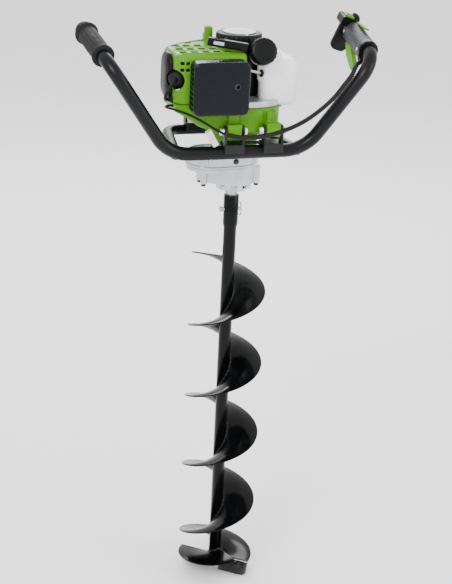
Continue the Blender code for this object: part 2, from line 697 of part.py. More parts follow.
def build_engine_block():
    """Crankcase, finned cylinder, spark plug with boot and lead, muffler."""
    case = rod("crankcase", CRANKCASE_R, 1000, CRANKCASE_TOP, edge=2)
    join(case, slab("deck", wrapped([(-8, 0, 76), (12, 0, 76)]), 990.4, 1002))
    cut(case, rod("room", 33, 1013, CRANKCASE_TOP - 8, edge=0.1),
        rod("main_bore", 8.3, 980, 1100, edge=0.1),
        rod("barrel_bore", 24, -60, 0, (0, 0, CYLINDER_Z), (1, 0, 0), 0.1),
        cut(block("tank_room", (29.6, -56, 980), (120, 46, 1010), 14),
            rod("wall", 45, 970, 1020, edge=0.1, steps=32)))
    finish(case, SILVER, 0.9, 0.45)

    fins = [(20, 41), (26, 41)]
    for index in range(5):
        start = 51 + index * 12
        fins += [(26, start), (30, start + 0.6), (30, start + 2.4), (26, start + 3)]
    fins += [(26, 111), (22, 115), (5.3, 115), (5.3, 106), (20, 104)]
    barrel = lathe("cylinder", fins, (0, 0, CYLINDER_Z), (-1, 0, 0), 14)
    cut(barrel, rod("plug_seat", 5.3, -1, 60, PLUG_SEAT, PLUG_DIR, 0.1, 16))
    finish(barrel, SILVER, 0.8, 0.5)


def build_covers():
    """Green cylinder cover with its slots and screw boss, black end cap and muffler cover."""
    cover = slab("cylinder_cover", wrapped(COVER_BELT, 36), COVER_BOTTOM, COVER_TOP)
    soften(cover, 9, 2, 60)
    join(cover, rod("boss", 8, COVER_TOP - 8, 1126, (-52, 25, 0), edge=1, steps=16))
    inside = [(x, y, r - SHELL) for x, y, r in COVER_BELT[:3]]
    inside += [(20, 60, 1), (20, -78, 1)]
    room = slab("room", wrapped(inside, 36), COVER_BOTTOM - 20, COVER_TOP - SHELL)
    cut(cover, room, rod("starter_seat", STARTER_R + 1.5, 1060, 1200, edge=0.1, steps=36))
    for row, columns in ((-58, 5), (-30, 4), (-2, 3), (24, 2)):
        for column in range(columns):
            x = -122 + column * 21 + (8 if row == 24 else 0)
            cut(cover, block("slot", (x - 7, row - 8, COVER_TOP - 12), (x + 7, row + 8, COVER_TOP + 8),
                             2, 1))
    cut(cover, rod("plug_hole", 18.5, 25, 90, PLUG_SEAT, PLUG_DIR, 0.1),
        rod("port_hole", 14, 60, 100, (-75, 0, 1040), (0, -1, 0), 0.1),
        rod("intake_hole", 12, 48, 100, (CARB_X, 0, CYLINDER_Z), (0, 1, 0), 0.1),
        rod("pipe_hole", 5.0, 48, 100, (-35, 0, 1058), (0, 1, 0), 0.1, 16),
        rod("cable_exit", 4.7, 36, 100, (-88, 0, 1061), (0, 1, 0), 0.1, 14))
    finish(cover, LIME, 0, 0.4)

    end = slab("cover_end_cap", rounded(58, 86, 22), 141.3, 151, (0, -31, 1047.5), (-1, 0, 0))
    soften(end, 4)
    cut(end, rod("boot_notch", 18.5, 20, 90, PLUG_SEAT, PLUG_DIR, 0.1))
    finish(end, BLACK, 0, 0.4)

    shield = slab("muffler_cover", rounded(105, 98, 12), 84, 120, (-64.5, 0, 1038), (0, -1, 0))
    soften(shield, 4)
    cut(shield, slab("room", rounded(99, 92, 9), 60, 117, (-64.5, 0, 1038), (0, -1, 0)),
        rod("outlet", 3.6, 110, 125, (-36, 0, 1042), (0, -1, 0), 0.1, 16))
    finish(shield, BLACK, 0, 0.35)

    muffler = slab("muffler", rounded(78, 72, 10), 85, 114, (-64, 0, 1038), (0, -1, 0))
    soften(muffler, 4)
    join(muffler, rod("port", 10, 30.6, 90, (-75, 0, 1040), (0, -1, 0), 0.2))
    finish(muffler, STEEL, 0.9, 0.5)


def build_ignition():
    """Spark plug, its boot and the lead clipped to the cover."""
    plug = [(0, 1), (5, 1), (5, 22), (9, 22), (9, 27), (5.5, 29), (5.5, 41), (0, 41)]
    finish(lathe("spark_plug", plug, PLUG_SEAT, PLUG_DIR, 16), WHITE, 0, 0.3)
    boot = [(6.2, 30), (14, 30), (16, 34), (16.5, 54), (13, 62), (0, 64), (0, 43), (6.2, 43)]
    finish(lathe("plug_boot", boot, PLUG_SEAT, PLUG_DIR, 24), BLACK, 0, 0.6)
    start = PLUG_SEAT + PLUG_DIR * 64.6
    lead = [start, start + PLUG_DIR * 6, (-152, -80, 1034), (-158, -76, 1020),
            (-156, -66, 1011), (-150, -58, 1008), (-142.2, -57.5, 1008)]
    finish(tube("ignition_lead", smooth_path(lead, 8), 3.0, 1), BLACK, 0, 0.5)


def build_starter():
    """Recoil starter: housing, top cap, reel and the pull handle with its rope."""
    housing = [(0, STARTER_TOP), (39, STARTER_TOP), (43, STARTER_TOP - 4), (STARTER_R, 1088.4),
               (40, 1088.4), (40, STARTER_TOP - 3.2), (0, STARTER_TOP - 3.2)]
    shell = lathe("starter_housing", housing, steps=28)
    join(shell, rod("reel_pin", 5, 1100, STARTER_TOP - 2, edge=0.3, steps=20))
    rope_start = Vector((PULL_DIR.y, -PULL_DIR.x, 0)) * REEL_LINE + Vector((0, 0, PULL_Z))
    cut(shell, rod("rope_hole", 2.6, 10, 60, rope_start, PULL_DIR, 0.1, 14))
    finish(shell, BLACK, 0, 0.45)
    finish(rod("starter_cap", 31, STARTER_TOP + GAP, STARTER_TOP + 2.8, edge=1.2, steps=28),
           SILVER, 0.3, 0.5)
    reel = [(5.3, 1101.5), (31.2, 1101.5), (31.2, 1103), (27.5, 1105.5), (27.5, 1110.5),
            (31.2, 1112.5), (31.2, 1114), (5.3, 1114)]
    finish(lathe("starter_reel", reel, steps=18), BLACK, 0, 0.5)
    handle = slab("starter_handle", rounded(78, 15, 6), -7.5, 7.5)
    soften(handle, 3)
    cut(handle, block("window", (-30, -3.5, -20), (-8, 3.5, 20), 2))
    across = Vector((-PULL_DIR.y, PULL_DIR.x, 0))
    along = (across * math.cos(HANDLE_TILT) - Vector((0, 0, 1)) * math.sin(HANDLE_TILT))
    up = PULL_DIR.cross(along) * -1
    pose = Matrix((along, -PULL_DIR, up)).transposed().to_4x4()
    pose.translation = (rope_start + PULL_DIR * PULL_REACH + along * -5) * MM
    handle.data.transform(pose)
    join(handle, rod("rope", 1.6, -14, PULL_REACH - 4, rope_start, PULL_DIR, 0.2, 10))
    finish(handle, BLACK, 0, 0.4)


def build_fuel():
    """Tank with a shoulder and inclined filler neck, screw cap and the pipe to the carburettor."""
    tank = block("fuel_tank", (30, -55, 987), (102, 45, 1076), 14)
    soften(tank, 7, 2)
    shoulder = block("shoulder", (26, -50, 1030), (72, 30, 1090), 12)
    soften(shoulder, 6, 2)
    join(tank, shoulder, rod("neck", 17, -62, -8, CAP_FRONT, CAP_DIR, 0.5))
    cut(tank, rod("clear", 45.5, 960, 1200, edge=0.1, steps=32))
    finish(tank, WHITE, 0, 0.35)
    cap = [(17.5, -22), (24, -22), (25, -20), (25, -3), (22, 0), (0, 0), (0, -7.5), (17.5, -7.5)]
    finish(lathe("fuel_cap", cap, CAP_FRONT, CAP_DIR, 24), BLACK, 0, 0.4)
    pipe = [(29.6, -48, 1050), (16, -52, 1054), (-4, -54, 1060), (-42, -48, 1074), (-52, -24, 1086),
            (-50, 16, 1087), (-42, 38, 1076), (-36, 52, 1064), (-35, 62, 1059.5),
            (-35, 71, 1054), (-35, 79.6, 1052.5)]
    finish(tube("fuel_line", smooth_path(pipe, 9), 2.4, 1), CREAM, 0, 0.5)


def build_intake():
    """Carburettor with its intake stub, throttle lever, choke, primer bulb and air filter."""
    body = block("carburettor", (CARB_X - 18, 80, 1020), (CARB_X + 18, 107, 1056), 4)
    join(body, rod("stub", 10, 30.6, 84, (CARB_X, 0, CYLINDER_Z), (0, 1, 0), 0.2),
         slab("plate", rounded(72, 72, 8), 105, 109, (FILTER_X, 0, FILTER_Z), (0, 1, 0)))
    cut(body, rod("bulb_pocket", 9.6, 1012, 1026, (CARB_X, 93, 0), edge=0.1, steps=20))
    finish(body, SILVER, 0.8, 0.5)
    middle = (FILTER_X, 0, FILTER_Z)
    filter_box = slab("air_filter_cover", rounded(76, 76, 12), 109.3, 146, middle, (0, 1, 0))
    soften(filter_box, 4)
    cut(filter_box, slab("room", rounded(70, 70, 9), 100, 143, middle, (0, 1, 0)))
    finish(filter_box, BLACK, 0, 0.5)
    lever = wrapped([(0, 0, 5), (-14, 0, 3)], 20)
    finish(slab("throttle_lever", lever, 1056.4, 1058.6, (CARB_X, 93, 0)), STEEL, 0.9, 0.4)
    choke = slab("choke_lever", wrapped([(0, 0, 4.5), (22, 0, 3.5)], 20), 101.2, 103.6,
                 (CARB_X - 24, 0, 1052), (0, 1, 0))
    finish(choke, BLACK, 0, 0.5)
    bulb = [(0, 1010), (6, 1011.5), (9, 1015), (9, 1020.6), (0, 1020.6)]
    finish(lathe("primer_bulb", bulb, (CARB_X, 93, 0), steps=20), WHITE, 0, 0.3)


def in_handle(grid_object):
    """Move a mesh from the handle's own axes (X left, Y up, Z along) into place."""
    pose = facing(RIGHT_HANDLE_DIR, HANDLE_SPIN)
    pose.translation = handle_point(1, 0) * MM
    grid_object.data.transform(pose)
    return grid_object


def side_plate(name, outline, half_width):
    """Plate drawn as (along, up) points in the handle's own axes."""
    item = slab(name, [(up, along) for along, up in outline], -half_width, half_width)
    item.data.transform(Matrix(((0, 0, 1, 0), (1, 0, 0, 0), (0, 1, 0, 0), (0, 0, 0, 1))))
    return item


def build_throttle_handle():
    """Throttle handle body, trigger, lock-out lever and stop switch."""
    body = slab("throttle_handle", wrapped([(0, 0, 17.5), (1, -13, 11.5)], 32), 46, 168)
    soften(body, 2)
    guard = slab("guard", [(x + 7, y - 12) for x, y in rounded(34, 80, 12)], 162, 174)
    soften(guard, 2.5)
    cap = slab("cap", wrapped([(0, 0, 17), (14, 8, 13)], 24), 168, 182)
    soften(cap, 2.5)
    pod = block("pod", (3, 2, 148), (31, 20, 180), 4)
    soften(pod, 2)
    join(body, guard, cap, pod)
    cut(body, rod("bore", TUBE_R + 0.35, -10, HANDLE_REACH + GAP, edge=0.1, steps=18),
        block("trigger_room", (-5.8, -60, 60), (5.8, -14.5, 150), 1),
        block("switch_room", (6.5, 16, 153), (27.5, 40, 177), 1))
    finish(in_handle(body), GREY, 0, 0.55)
    trigger = side_plate("throttle_trigger", [(146, -18), (147, -28), (120, -42), (84, -50),
                                              (68, -52), (64, -46), (78, -38), (108, -27),
                                              (132, -17)], 5.2)
    finish(in_handle(trigger), LIME, 0, 0.4)
    lockout = side_plate("lockout_lever", [(140, 18.2), (140, 20.4), (118, 23.6), (96, 26), (93, 24.8),
                                           (96, 22.4), (118, 19.2), (132, 18.2)], 4.5)
    finish(in_handle(lockout), LIME, 0, 0.4)
    switch = block("stop_switch", (7.2, 16.4, 153.8), (26.8, 24, 170), 2.5)
    finish(in_handle(switch), LIME, 0, 0.4)


def build_cables():
    """Throttle cable in its corrugated sleeve, the bare cable to the carburettor, connector."""
    lobe = facing(RIGHT_HANDLE_DIR, HANDLE_SPIN) @ Vector((9, -20, 0))
    start = handle_point(1, 45.2) + lobe
    sleeve = [start, start - RIGHT_HANDLE_DIR * 10, (201, -93, 1073), (193, -104, 1069), (184, -113, 1058),
              (168, -119, 1041), (147, -122, 1017), (122, -124, 996), (94, -124, 977),
              (64, -121, 962), (24, -116, 949), (-18, -111, 946), (-50, -107, 951)]
    finish(tube("cable_conduit", smooth_path(sleeve, 17), 4.5, 2), BLACK, 0, 0.6)
    cable = [(-51.2, -106.9, 951.5), (-70, -103, 961), (-94, -97, 975), (-120, -92, 988),
             (-141, -88, 995), (-154, -78, 997.5), (-155, -66, 997), (-146, -60, 997),
             (-136, -60, 997), (-132, -60, 997), (-125, -54, 998.5), (-123, -40, 1001),
             (-124, -18, 1006), (-123, 6, 1016), (-117, 21.5, 1028), (-108, 27.5, 1035),
             (-100, 33, 1046), (-91, 37, 1057), (-88, 43, 1060.5), (-88, 54, 1061),
             (-80, 72, 1061), (-68, 88, 1061.4)]
    finish(tube("throttle_cable", smooth_path(cable, 12), 2.2, 1), BLACK, 0, 0.5)
    plug = slab("wire_connector", rounded(13, 11, 2.5), -16, 16, (-77, -107, 946), (0.5, 0, -0.87))
    soften(plug, 1)
    finish(plug, CREAM, 0, 0.5)


build_bit()
build_gearbox()
build_frame()
build_engine_base()
build_engine_block()
build_covers()
build_ignition()
build_starter()
build_fuel()
build_intake()
build_throttle_handle()
build_cables()
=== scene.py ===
"""Looks of the powered auger: smooth pieces, procedural finishes, lights and camera.

Lengths are millimetres unless a name says otherwise, in the machine's own frame: X to the
right of the operator-facing front, Y to the back, Z up, with the pilot tip at the origin.
"""
import math

import bmesh
import bpy
from mathutils import Matrix, Vector


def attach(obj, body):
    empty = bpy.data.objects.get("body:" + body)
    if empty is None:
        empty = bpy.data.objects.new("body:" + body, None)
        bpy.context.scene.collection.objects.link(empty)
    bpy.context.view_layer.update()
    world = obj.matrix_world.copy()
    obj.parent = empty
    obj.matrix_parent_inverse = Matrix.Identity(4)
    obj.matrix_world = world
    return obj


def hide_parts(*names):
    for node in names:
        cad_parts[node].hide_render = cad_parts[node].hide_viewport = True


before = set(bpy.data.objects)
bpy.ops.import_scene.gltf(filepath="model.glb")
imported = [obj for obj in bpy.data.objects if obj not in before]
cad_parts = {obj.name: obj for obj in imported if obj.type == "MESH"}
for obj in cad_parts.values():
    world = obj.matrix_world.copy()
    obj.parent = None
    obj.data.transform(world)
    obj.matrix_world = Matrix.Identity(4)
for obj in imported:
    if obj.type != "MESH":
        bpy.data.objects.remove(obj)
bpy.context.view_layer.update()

MM = 0.001
POWER_HEAD = "power_head"
AUGER = "auger"

# Camera, in metres and degrees.
CAMERA_PLACE = (-0.9633, -2.9646, 1.7381)
CAMERA_HEADING = 17.97
CAMERA_DIP = 19.97
CAMERA_ROLL = 2.71
CAMERA_LENS = 104.86

# Bit.
BIT_R = 75.0
BIT_PITCH = 150.0
SHANK_R = 12.5
FLIGHT_T = 3.0
FLIGHT_BOTTOM = 30.0
FLIGHT_TURNS = 4.525
ENTRY_TURNS = 0.567
ENTRY_RISE = 53.0
SECOND_TURNS = 0.42
SECOND_PITCH = 40.0
LEAD_ANGLE = math.radians(-42)
BLADE_DROP = 28.0
DRIVE_PIN_Z = 776.0

# Frame.
TUBE_R = 12.7
REAR_TUBE_R = 10.0
FRAME_X = -20.0
FRAME_Z = 911.0
FRONT_Y = -83.0
REAR_Y = 90.0
HALF_FRONT = 131.0
HALF_REAR = 88.0
ARM_X = -22.5
ARM_HALF = 248.5
ARM_Y = -118.0
ARM_Z = 1085.0
LOWER_BEND_R = 75.0
UPPER_BEND_R = 44.0
LEFT_HANDLE_DIR = Vector((-0.055, 0.984, 0.168)).normalized()
RIGHT_HANDLE_DIR = Vector((0.08, 0.984, 0.168)).normalized()
HANDLE_REACH = 176.0
HANDLE_SPIN = math.radians(20)
BRACKET_X = (-30.0, 45.0)
REAR_BRACKET_X = (-52.0, 12.0)
BOLT_Z = 952.0

# Gearbox.
LAY_X = -45.0
GEAR_SIDE_R = 43.0
LAY_UPPER_R = 46.0
LAY_LOWER_R = 18.0
FLANGE_BOTTOM = 817.0
LOWER_BOTTOM = 833.0
SPLIT_LOW = 866.8
SPLIT_HIGH = 867.3
UPPER_TOP = 894.0
NECK_TOP = 912.0
HOUSING_BOSSES = ((41, -21), (41, 21), (-61, -14), (-61, 14))

# Engine.
BASE_R = 81.0
BASE_BOTTOM = 944.0
BASE_TOP = 986.0
CRANKCASE_SHROUD_R = 41.2
GUARD_MIDDLE = (-64.5, 0, 1038)
OUTLET = (-36, 0, 1042)
STARTER_R = 43.0
STARTER_TOP = 1118.0
CYLINDER_Z = 1046.0
PLUG_DIR = Vector((-0.5, -0.866, 0.0)).normalized()
PLUG_SEAT = Vector((-107.0, -13.0, CYLINDER_Z))
PULL_DIR = Vector((-0.1, -0.995, 0.0)).normalized()
PULL_Z = 1108.0
REEL_LINE = 29.4
PULL_REACH = 70.0
HANDLE_TILT = math.radians(9)
CAP_DIR = Vector((-0.05, -0.93, 0.36)).normalized()
CAP_FRONT = Vector((22.0, -89.0, 1101.0))
CARB_X = -50.0
FILTER_X = -42.0
FILTER_Z = 1028.0
COVER_BOTTOM = 1002.6
COVER_TOP = 1094.0
COVER_BELT = ((-121, -62, 20), (-114, 0, 27), (-50, 46, 22), (-12, 64, 4), (-12, -78, 4))

SCRATCH = bpy.data.collections.new("scratch")
bpy.context.scene.collection.children.link(SCRATCH)


# ---------------------------------------------------------------- shapes

def facing(direction, spin=0.0):
    """Rotation that takes +Z onto a direction, keeping local X level."""
    aim = Vector(direction).normalized()
    side = Vector((0, 0, 1)).cross(aim)
    if side.length < 1e-6:
        side = Vector((1, 0, 0))
    side.normalize()
    up = aim.cross(side)
    turned = Matrix((side, up, aim)).transposed().to_4x4()
    return turned @ Matrix.Rotation(spin, 4, "Z")


def polar(radius, turn):
    return radius * math.cos(turn), radius * math.sin(turn)


def placed(grid, centre=(0, 0, 0), direction=(0, 0, 1), spin=0.0):
    move = Matrix.Translation(Vector(centre)) @ facing(direction, spin)
    bmesh.ops.transform(grid, matrix=move, verts=grid.verts)
    return grid


def skin(grid, rings):
    """Close a row of equal vertex rings into a solid."""
    for here, there in zip(rings, rings[1:]):
        for index in range(len(here)):
            after = (index + 1) % len(here)
            grid.faces.new((here[index], here[after], there[after], there[index]))
    grid.faces.new(rings[0])
    grid.faces.new(rings[-1])
    bmesh.ops.recalc_face_normals(grid, faces=grid.faces)
    return grid


def revolve(profile, centre=(0, 0, 0), direction=(0, 0, 1), steps=64, reach=None, spin=0.0):
    """Closed solid of revolution; reach(turn, radius, height) may vary the radius."""
    grid = bmesh.new()
    rings = []
    for step in range(steps):
        turn = 2 * math.pi * step / steps
        ring = []
        for radius, height in profile:
            r = reach(turn, radius, height) if reach else radius
            ring.append(grid.verts.new((*polar(r, turn), height)))
        rings.append(ring)
    count = len(profile)
    for step in range(steps):
        here, there = rings[step], rings[(step + 1) % steps]
        for index in range(count):
            after = (index + 1) % count
            if profile[index][0] < 1e-6 and profile[after][0] < 1e-6:
                continue
            grid.faces.new((here[index], there[index], there[after], here[after]))
    bmesh.ops.remove_doubles(grid, verts=grid.verts, dist=0.001)
    bmesh.ops.dissolve_degenerate(grid, edges=grid.edges, dist=0.0005)
    bmesh.ops.recalc_face_normals(grid, faces=grid.faces)
    return placed(grid, centre, direction, spin)


def bar(radius, low, high, centre=(0, 0, 0), direction=(0, 0, 1), edge=0.8, steps=48):
    """Round bar with rounded rims."""
    profile = [(0, low)]
    for step in range(4):
        turn = math.pi / 2 * step / 3
        profile.append((radius - edge + edge * math.sin(turn), low + edge - edge * math.cos(turn)))
    for step in range(4):
        turn = math.pi / 2 * step / 3
        profile.append((radius - edge + edge * math.cos(turn), high - edge + edge * math.sin(turn)))
    profile.append((0, high))
    return revolve(profile, centre, direction, steps)


def prism(outline, low, high, centre=(0, 0, 0), direction=(0, 0, 1), spin=0.0):
    grid = bmesh.new()
    bottom = [grid.verts.new((x, y, low)) for x, y in outline]
    top = [grid.verts.new((x, y, high)) for x, y in outline]
    grid.faces.new(bottom)
    grid.faces.new(top)
    for index in range(len(outline)):
        after = (index + 1) % len(outline)
        grid.faces.new((bottom[index], bottom[after], top[after], top[index]))
    bmesh.ops.recalc_face_normals(grid, faces=grid.faces)
    return placed(grid, centre, direction, spin)


def rounded(width, depth, radius, steps=10):
    """Outline of a rounded rectangle centred on the origin."""
    points = []
    for quarter in range(4):
        cx = (width / 2 - radius) * (1 if quarter in (0, 3) else -1)
        cy = (depth / 2 - radius) * (1 if quarter in (0, 1) else -1)
        for step in range(steps + 1):
            turn = math.pi / 2 * (quarter + step / steps)
            points.append((cx + radius * math.cos(turn), cy + radius * math.sin(turn)))
    return points


def wrapped(circles, steps=96):
    """Outline of a belt around circles given as (x, y, radius)."""
    points = []
    for step in range(steps):
        turn = 2 * math.pi * step / steps
        way = Vector((math.cos(turn), math.sin(turn)))
        best = max(circles, key=lambda c: c[0] * way.x + c[1] * way.y + c[2])
        points.append((best[0] + best[2] * way.x, best[1] + best[2] * way.y))
    return points


def hexagon(across):
    return [polar(across / math.sqrt(3), math.pi * i / 3) for i in range(6)]


def size_and_middle(low, high):
    """Of a box given by two corners."""
    pairs = list(zip(low, high))
    return [far - near for near, far in pairs], [(far + near) / 2 for near, far in pairs]


def block(low, high, radius=3.0, steps=6):
    size, centre = size_and_middle(low, high)
    return prism(rounded(size[0], size[1], radius, steps), -size[2] / 2, size[2] / 2, centre)


def pillow(low, high, radius, steps=6):
    """Box with every edge rounded to one radius, from a stack of rounded outlines."""
    size, centre = size_and_middle(low, high)
    grid = bmesh.new()
    levels = []
    for end in (-1, 1):
        for step in range(steps + 1):
            turn = math.pi / 2 * (step if end < 0 else steps - step) / steps
            inset = radius * (1 - math.sin(turn))
            levels.append((end * (size[2] / 2 - radius + radius * math.cos(turn)), inset))
    rings = []
    for height, inset in levels:
        outline = rounded(size[0] - 2 * inset, size[1] - 2 * inset, max(radius - inset, 0.05), steps)
        rings.append([grid.verts.new((x, y, height)) for x, y in outline])
    return placed(skin(grid, rings), centre)


def corner_path(corners, radii, spacing=4.0):
    """Polyline that rounds each inner corner with an arc of its radius."""
    path = [Vector(corners[0])]
    for index in range(1, len(corners) - 1):
        here = Vector(corners[index])
        back = (Vector(corners[index - 1]) - here).normalized()
        ahead = (Vector(corners[index + 1]) - here).normalized()
        half = back.angle(ahead) / 2
        radius = radii[index - 1]
        setback = radius / math.tan(half)
        centre = here + (back + ahead).normalized() * (radius / math.sin(half))
        start = here + back * setback - centre
        end = here + ahead * setback - centre
        sweep_angle = start.angle(end)
        steps = max(3, round(radius * sweep_angle / spacing))
        for step in range(steps + 1):
            share = step / steps
            arc = (start * math.sin((1 - share) * sweep_angle)
                   + end * math.sin(share * sweep_angle)) / math.sin(sweep_angle)
            path.append(centre + arc)
    path.append(Vector(corners[-1]))
    return path


def smooth_path(points, spacing):
    """Evenly spaced points on a smooth curve through the given points."""
    nodes = [Vector(p) for p in points]
    nodes = [nodes[0] * 2 - nodes[1]] + nodes + [nodes[-1] * 2 - nodes[-2]]
    fine = []
    for index in range(1, len(nodes) - 2):
        a, b, c, d = nodes[index - 1:index + 3]
        for step in range(40):
            t = step / 40
            fine.append(0.5 * (2 * b + (c - a) * t + (2 * a - 5 * b + 4 * c - d) * t * t
                               + (3 * b - a - 3 * c + d) * t ** 3))
    fine.append(nodes[-2])
    length = sum((fine[i + 1] - fine[i]).length for i in range(len(fine) - 1))
    count = max(2, round(length / spacing))
    path, travelled, index = [fine[0]], 0.0, 0
    for step in range(1, count):
        target = length * step / count
        while travelled + (fine[index + 1] - fine[index]).length < target:
            travelled += (fine[index + 1] - fine[index]).length
            index += 1
        share = (target - travelled) / (fine[index + 1] - fine[index]).length
        path.append(fine[index].lerp(fine[index + 1], share))
    path.append(fine[-1])
    return path


def sweep(path, radius, steps=24, swell=None):
    """Round tube along a path without twist; swell(distance, turn) scales the radius."""
    grid = bmesh.new()
    tangents = []
    for index in range(len(path)):
        ahead = path[min(index + 1, len(path) - 1)]
        behind = path[max(index - 1, 0)]
        tangents.append((ahead - behind).normalized())
    side = tangents[0].orthogonal().normalized()
    rings, travelled = [], 0.0
    for index, point in enumerate(path):
        if index:
            travelled += (point - path[index - 1]).length
            side = (side - tangents[index] * side.dot(tangents[index])).normalized()
        up = tangents[index].cross(side)
        ring = []
        for step in range(steps):
            turn = 2 * math.pi * step / steps
            r = radius * (swell(travelled, turn) if swell else 1.0)
            ring.append(grid.verts.new(point + (side * math.cos(turn) + up * math.sin(turn)) * r))
        rings.append(ring)
    return skin(grid, rings)


def from_cad(node):
    """A CAD node's own mesh in millimetres, as the starting shape of a rounded piece."""
    grid = bmesh.new()
    grid.from_mesh(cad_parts[node].data)
    bmesh.ops.scale(grid, vec=(1 / MM,) * 3, verts=grid.verts)
    bmesh.ops.remove_doubles(grid, verts=grid.verts, dist=0.01)
    return grid


# ---------------------------------------------------------------- pieces

def joined(grids):
    """Several bmeshes as one."""
    whole = bmesh.new()
    for grid in grids:
        part = bpy.data.meshes.new("part")
        grid.to_mesh(part)
        grid.free()
        whole.from_mesh(part)
        bpy.data.meshes.remove(part)
    return whole


def solid(name, *grids):
    """One object in metres from bmeshes in millimetres."""
    whole = joined(grids)
    bmesh.ops.scale(whole, vec=(MM,) * 3, verts=whole.verts)
    mesh = bpy.data.meshes.new(name)
    whole.to_mesh(mesh)
    whole.free()
    item = bpy.data.objects.new(name, mesh)
    SCRATCH.objects.link(item)
    return item


def settle(item):
    """Apply an object's modifiers to its mesh."""
    bpy.context.view_layer.update()
    graph = bpy.context.evaluated_depsgraph_get()
    mesh = bpy.data.meshes.new_from_object(item.evaluated_get(graph))
    mesh.name = item.name
    item.modifiers.clear()
    item.data = mesh
    return item


def carve(item, *grids, operation="DIFFERENCE"):
    """Cut shapes out of an object, or fuse them to it; overlapping shapes are allowed."""
    for grid in grids:
        tool = solid("tool", grid)
        step = item.modifiers.new("Cut", "BOOLEAN")
        step.operation = operation
        step.solver = "EXACT"
        step.use_self = True
        step.object = tool
        settle(item)
        bpy.data.objects.remove(tool, do_unlink=True)
    return item


def round_edges(item, width, segments=3, angle=35):
    bevel = item.modifiers.new("Bevel", "BEVEL")
    bevel.width = width * MM
    bevel.segments = segments
    bevel.limit_method = "ANGLE"
    bevel.angle_limit = math.radians(angle)
    bevel.harden_normals = False
    return settle(item)


def cast(item, voxel, passes=4, keep=1.0):
    """Fuse an object into one skin with filleted edges, as a casting or moulding has."""
    fuse = item.modifiers.new("Fuse", "REMESH")
    fuse.mode = "VOXEL"
    fuse.voxel_size = voxel * MM
    fuse.use_smooth_shade = True
    soft = item.modifiers.new("Soften", "SMOOTH")
    soft.factor = 0.5
    soft.iterations = passes
    if keep < 1.0:
        thin = item.modifiers.new("Thin", "DECIMATE")
        thin.ratio = keep
    return settle(item)


def add(item, body, material, *nodes, sharp=35):
    """Finish a piece: smooth shading, material, the body it rides on, what it replaces."""
    mesh = item.data
    mesh.materials.clear()
    mesh.materials.append(material)
    mesh.shade_smooth()
    if sharp:
        mesh.set_sharp_from_angle(angle=math.radians(sharp))
    SCRATCH.objects.unlink(item)
    bpy.context.scene.collection.objects.link(item)
    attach(item, body)
    if nodes:
        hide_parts(*nodes)
    return item


def cast_node(name, node, voxel, keep, material):
    """Round a CAD node's own shape off as a casting, or as a thickly painted pressing."""
    item = cast(solid(name, from_cad(node)), voxel, 3, keep)
    return add(item, POWER_HEAD, material, node, sharp=0)


def repaint(material, *nodes):
    """Give CAD nodes that keep their shape a better finish."""
    for node in nodes:
        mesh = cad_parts[node].data
        for index in range(len(mesh.materials)):
            mesh.materials[index] = material


def hex_screw(name, centre, direction, across, height, body, material):
    """Hexagon head with a chamfered top and a flange washer."""
    head = round_edges(solid(name, prism(hexagon(across), 0.8, height, centre, direction)), 0.5, 2)
    washer = solid("washer", bar(across * 0.68, 0, 1.4, centre, direction, 0.3, 28))
    whole = bmesh.new()
    whole.from_mesh(head.data)
    whole.from_mesh(washer.data)
    whole.to_mesh(head.data)
    whole.free()
    bpy.data.objects.remove(washer, do_unlink=True)
    return add(head, body, material)


def socket_screw(name, centre, direction, radius, height, body, material):
    """Cap screw with a hexagon socket."""
    head = solid(name, bar(radius, 0, height, centre, direction, 0.5, 28))
    carve(head, prism(hexagon(radius * 1.05), height * 0.4, height + 2, centre, direction))
    return add(head, body, material)


# ---------------------------------------------------------------- finishes

class Finish:
    """A new material, with short forms of the shader nodes that the finishes share."""

    def __init__(self, name):
        self.material = bpy.data.materials.new(name)
        self.material.use_nodes = True
        self.tree = self.material.node_tree
        self.shader = self.tree.nodes["Principled BSDF"]
        self.where = self.node("TexCoord").outputs["Object"]

    def fill(self, node, inputs):
        """Link every input that is given a socket, and set the others to their values."""
        for name, value in inputs.items():
            if isinstance(value, bpy.types.NodeSocket):
                self.tree.links.new(value, node.inputs[name])
            else:
                node.inputs[name].default_value = value
        return node

    def node(self, kind, inputs=None):
        return self.fill(self.tree.nodes.new("ShaderNode" + kind), inputs or {})

    def surface(self, inputs):
        self.fill(self.shader, inputs)
        return self.material

    def noise(self, scale, detail, roughness=0.55, stretch=None):
        """Noise with a scale in waves per metre; stretch draws it out along an axis."""
        where = self.where
        if stretch:
            where = self.node("Mapping", {"Scale": stretch, "Vector": where}).outputs["Vector"]
        inputs = {"Scale": scale, "Detail": detail, "Roughness": roughness, "Vector": where}
        return self.node("TexNoise", inputs).outputs["Fac"]

    def span(self, value, low, high, to_low=0.0, to_high=1.0):
        return self.node("MapRange", {"From Min": low, "From Max": high, "To Min": to_low,
                                      "To Max": to_high, "Value": value}).outputs["Result"]

    def mix(self, share, first, second):
        """Blend two colours, each a tuple or a socket."""
        node = self.node("Mix")
        node.data_type = "RGBA"
        ends = [(*end, 1.0) if isinstance(end, tuple) else end for end in (first, second)]
        self.fill(node, {"Factor": share, "A": ends[0], "B": ends[1]})
        return node.outputs["Result"]

    def bump(self, height, strength, depth_mm, below=None):
        inputs = {"Strength": strength, "Distance": depth_mm * MM, "Height": height}
        if below:
            inputs["Normal"] = below
        return self.node("Bump", inputs).outputs["Normal"]

    def worn_edges(self, low, high):
        return self.span(self.node("NewGeometry").outputs["Pointiness"], low, high)


def shade(colour, times, plus=0.0):
    return tuple(min(1.0, c * times + plus) for c in colour)


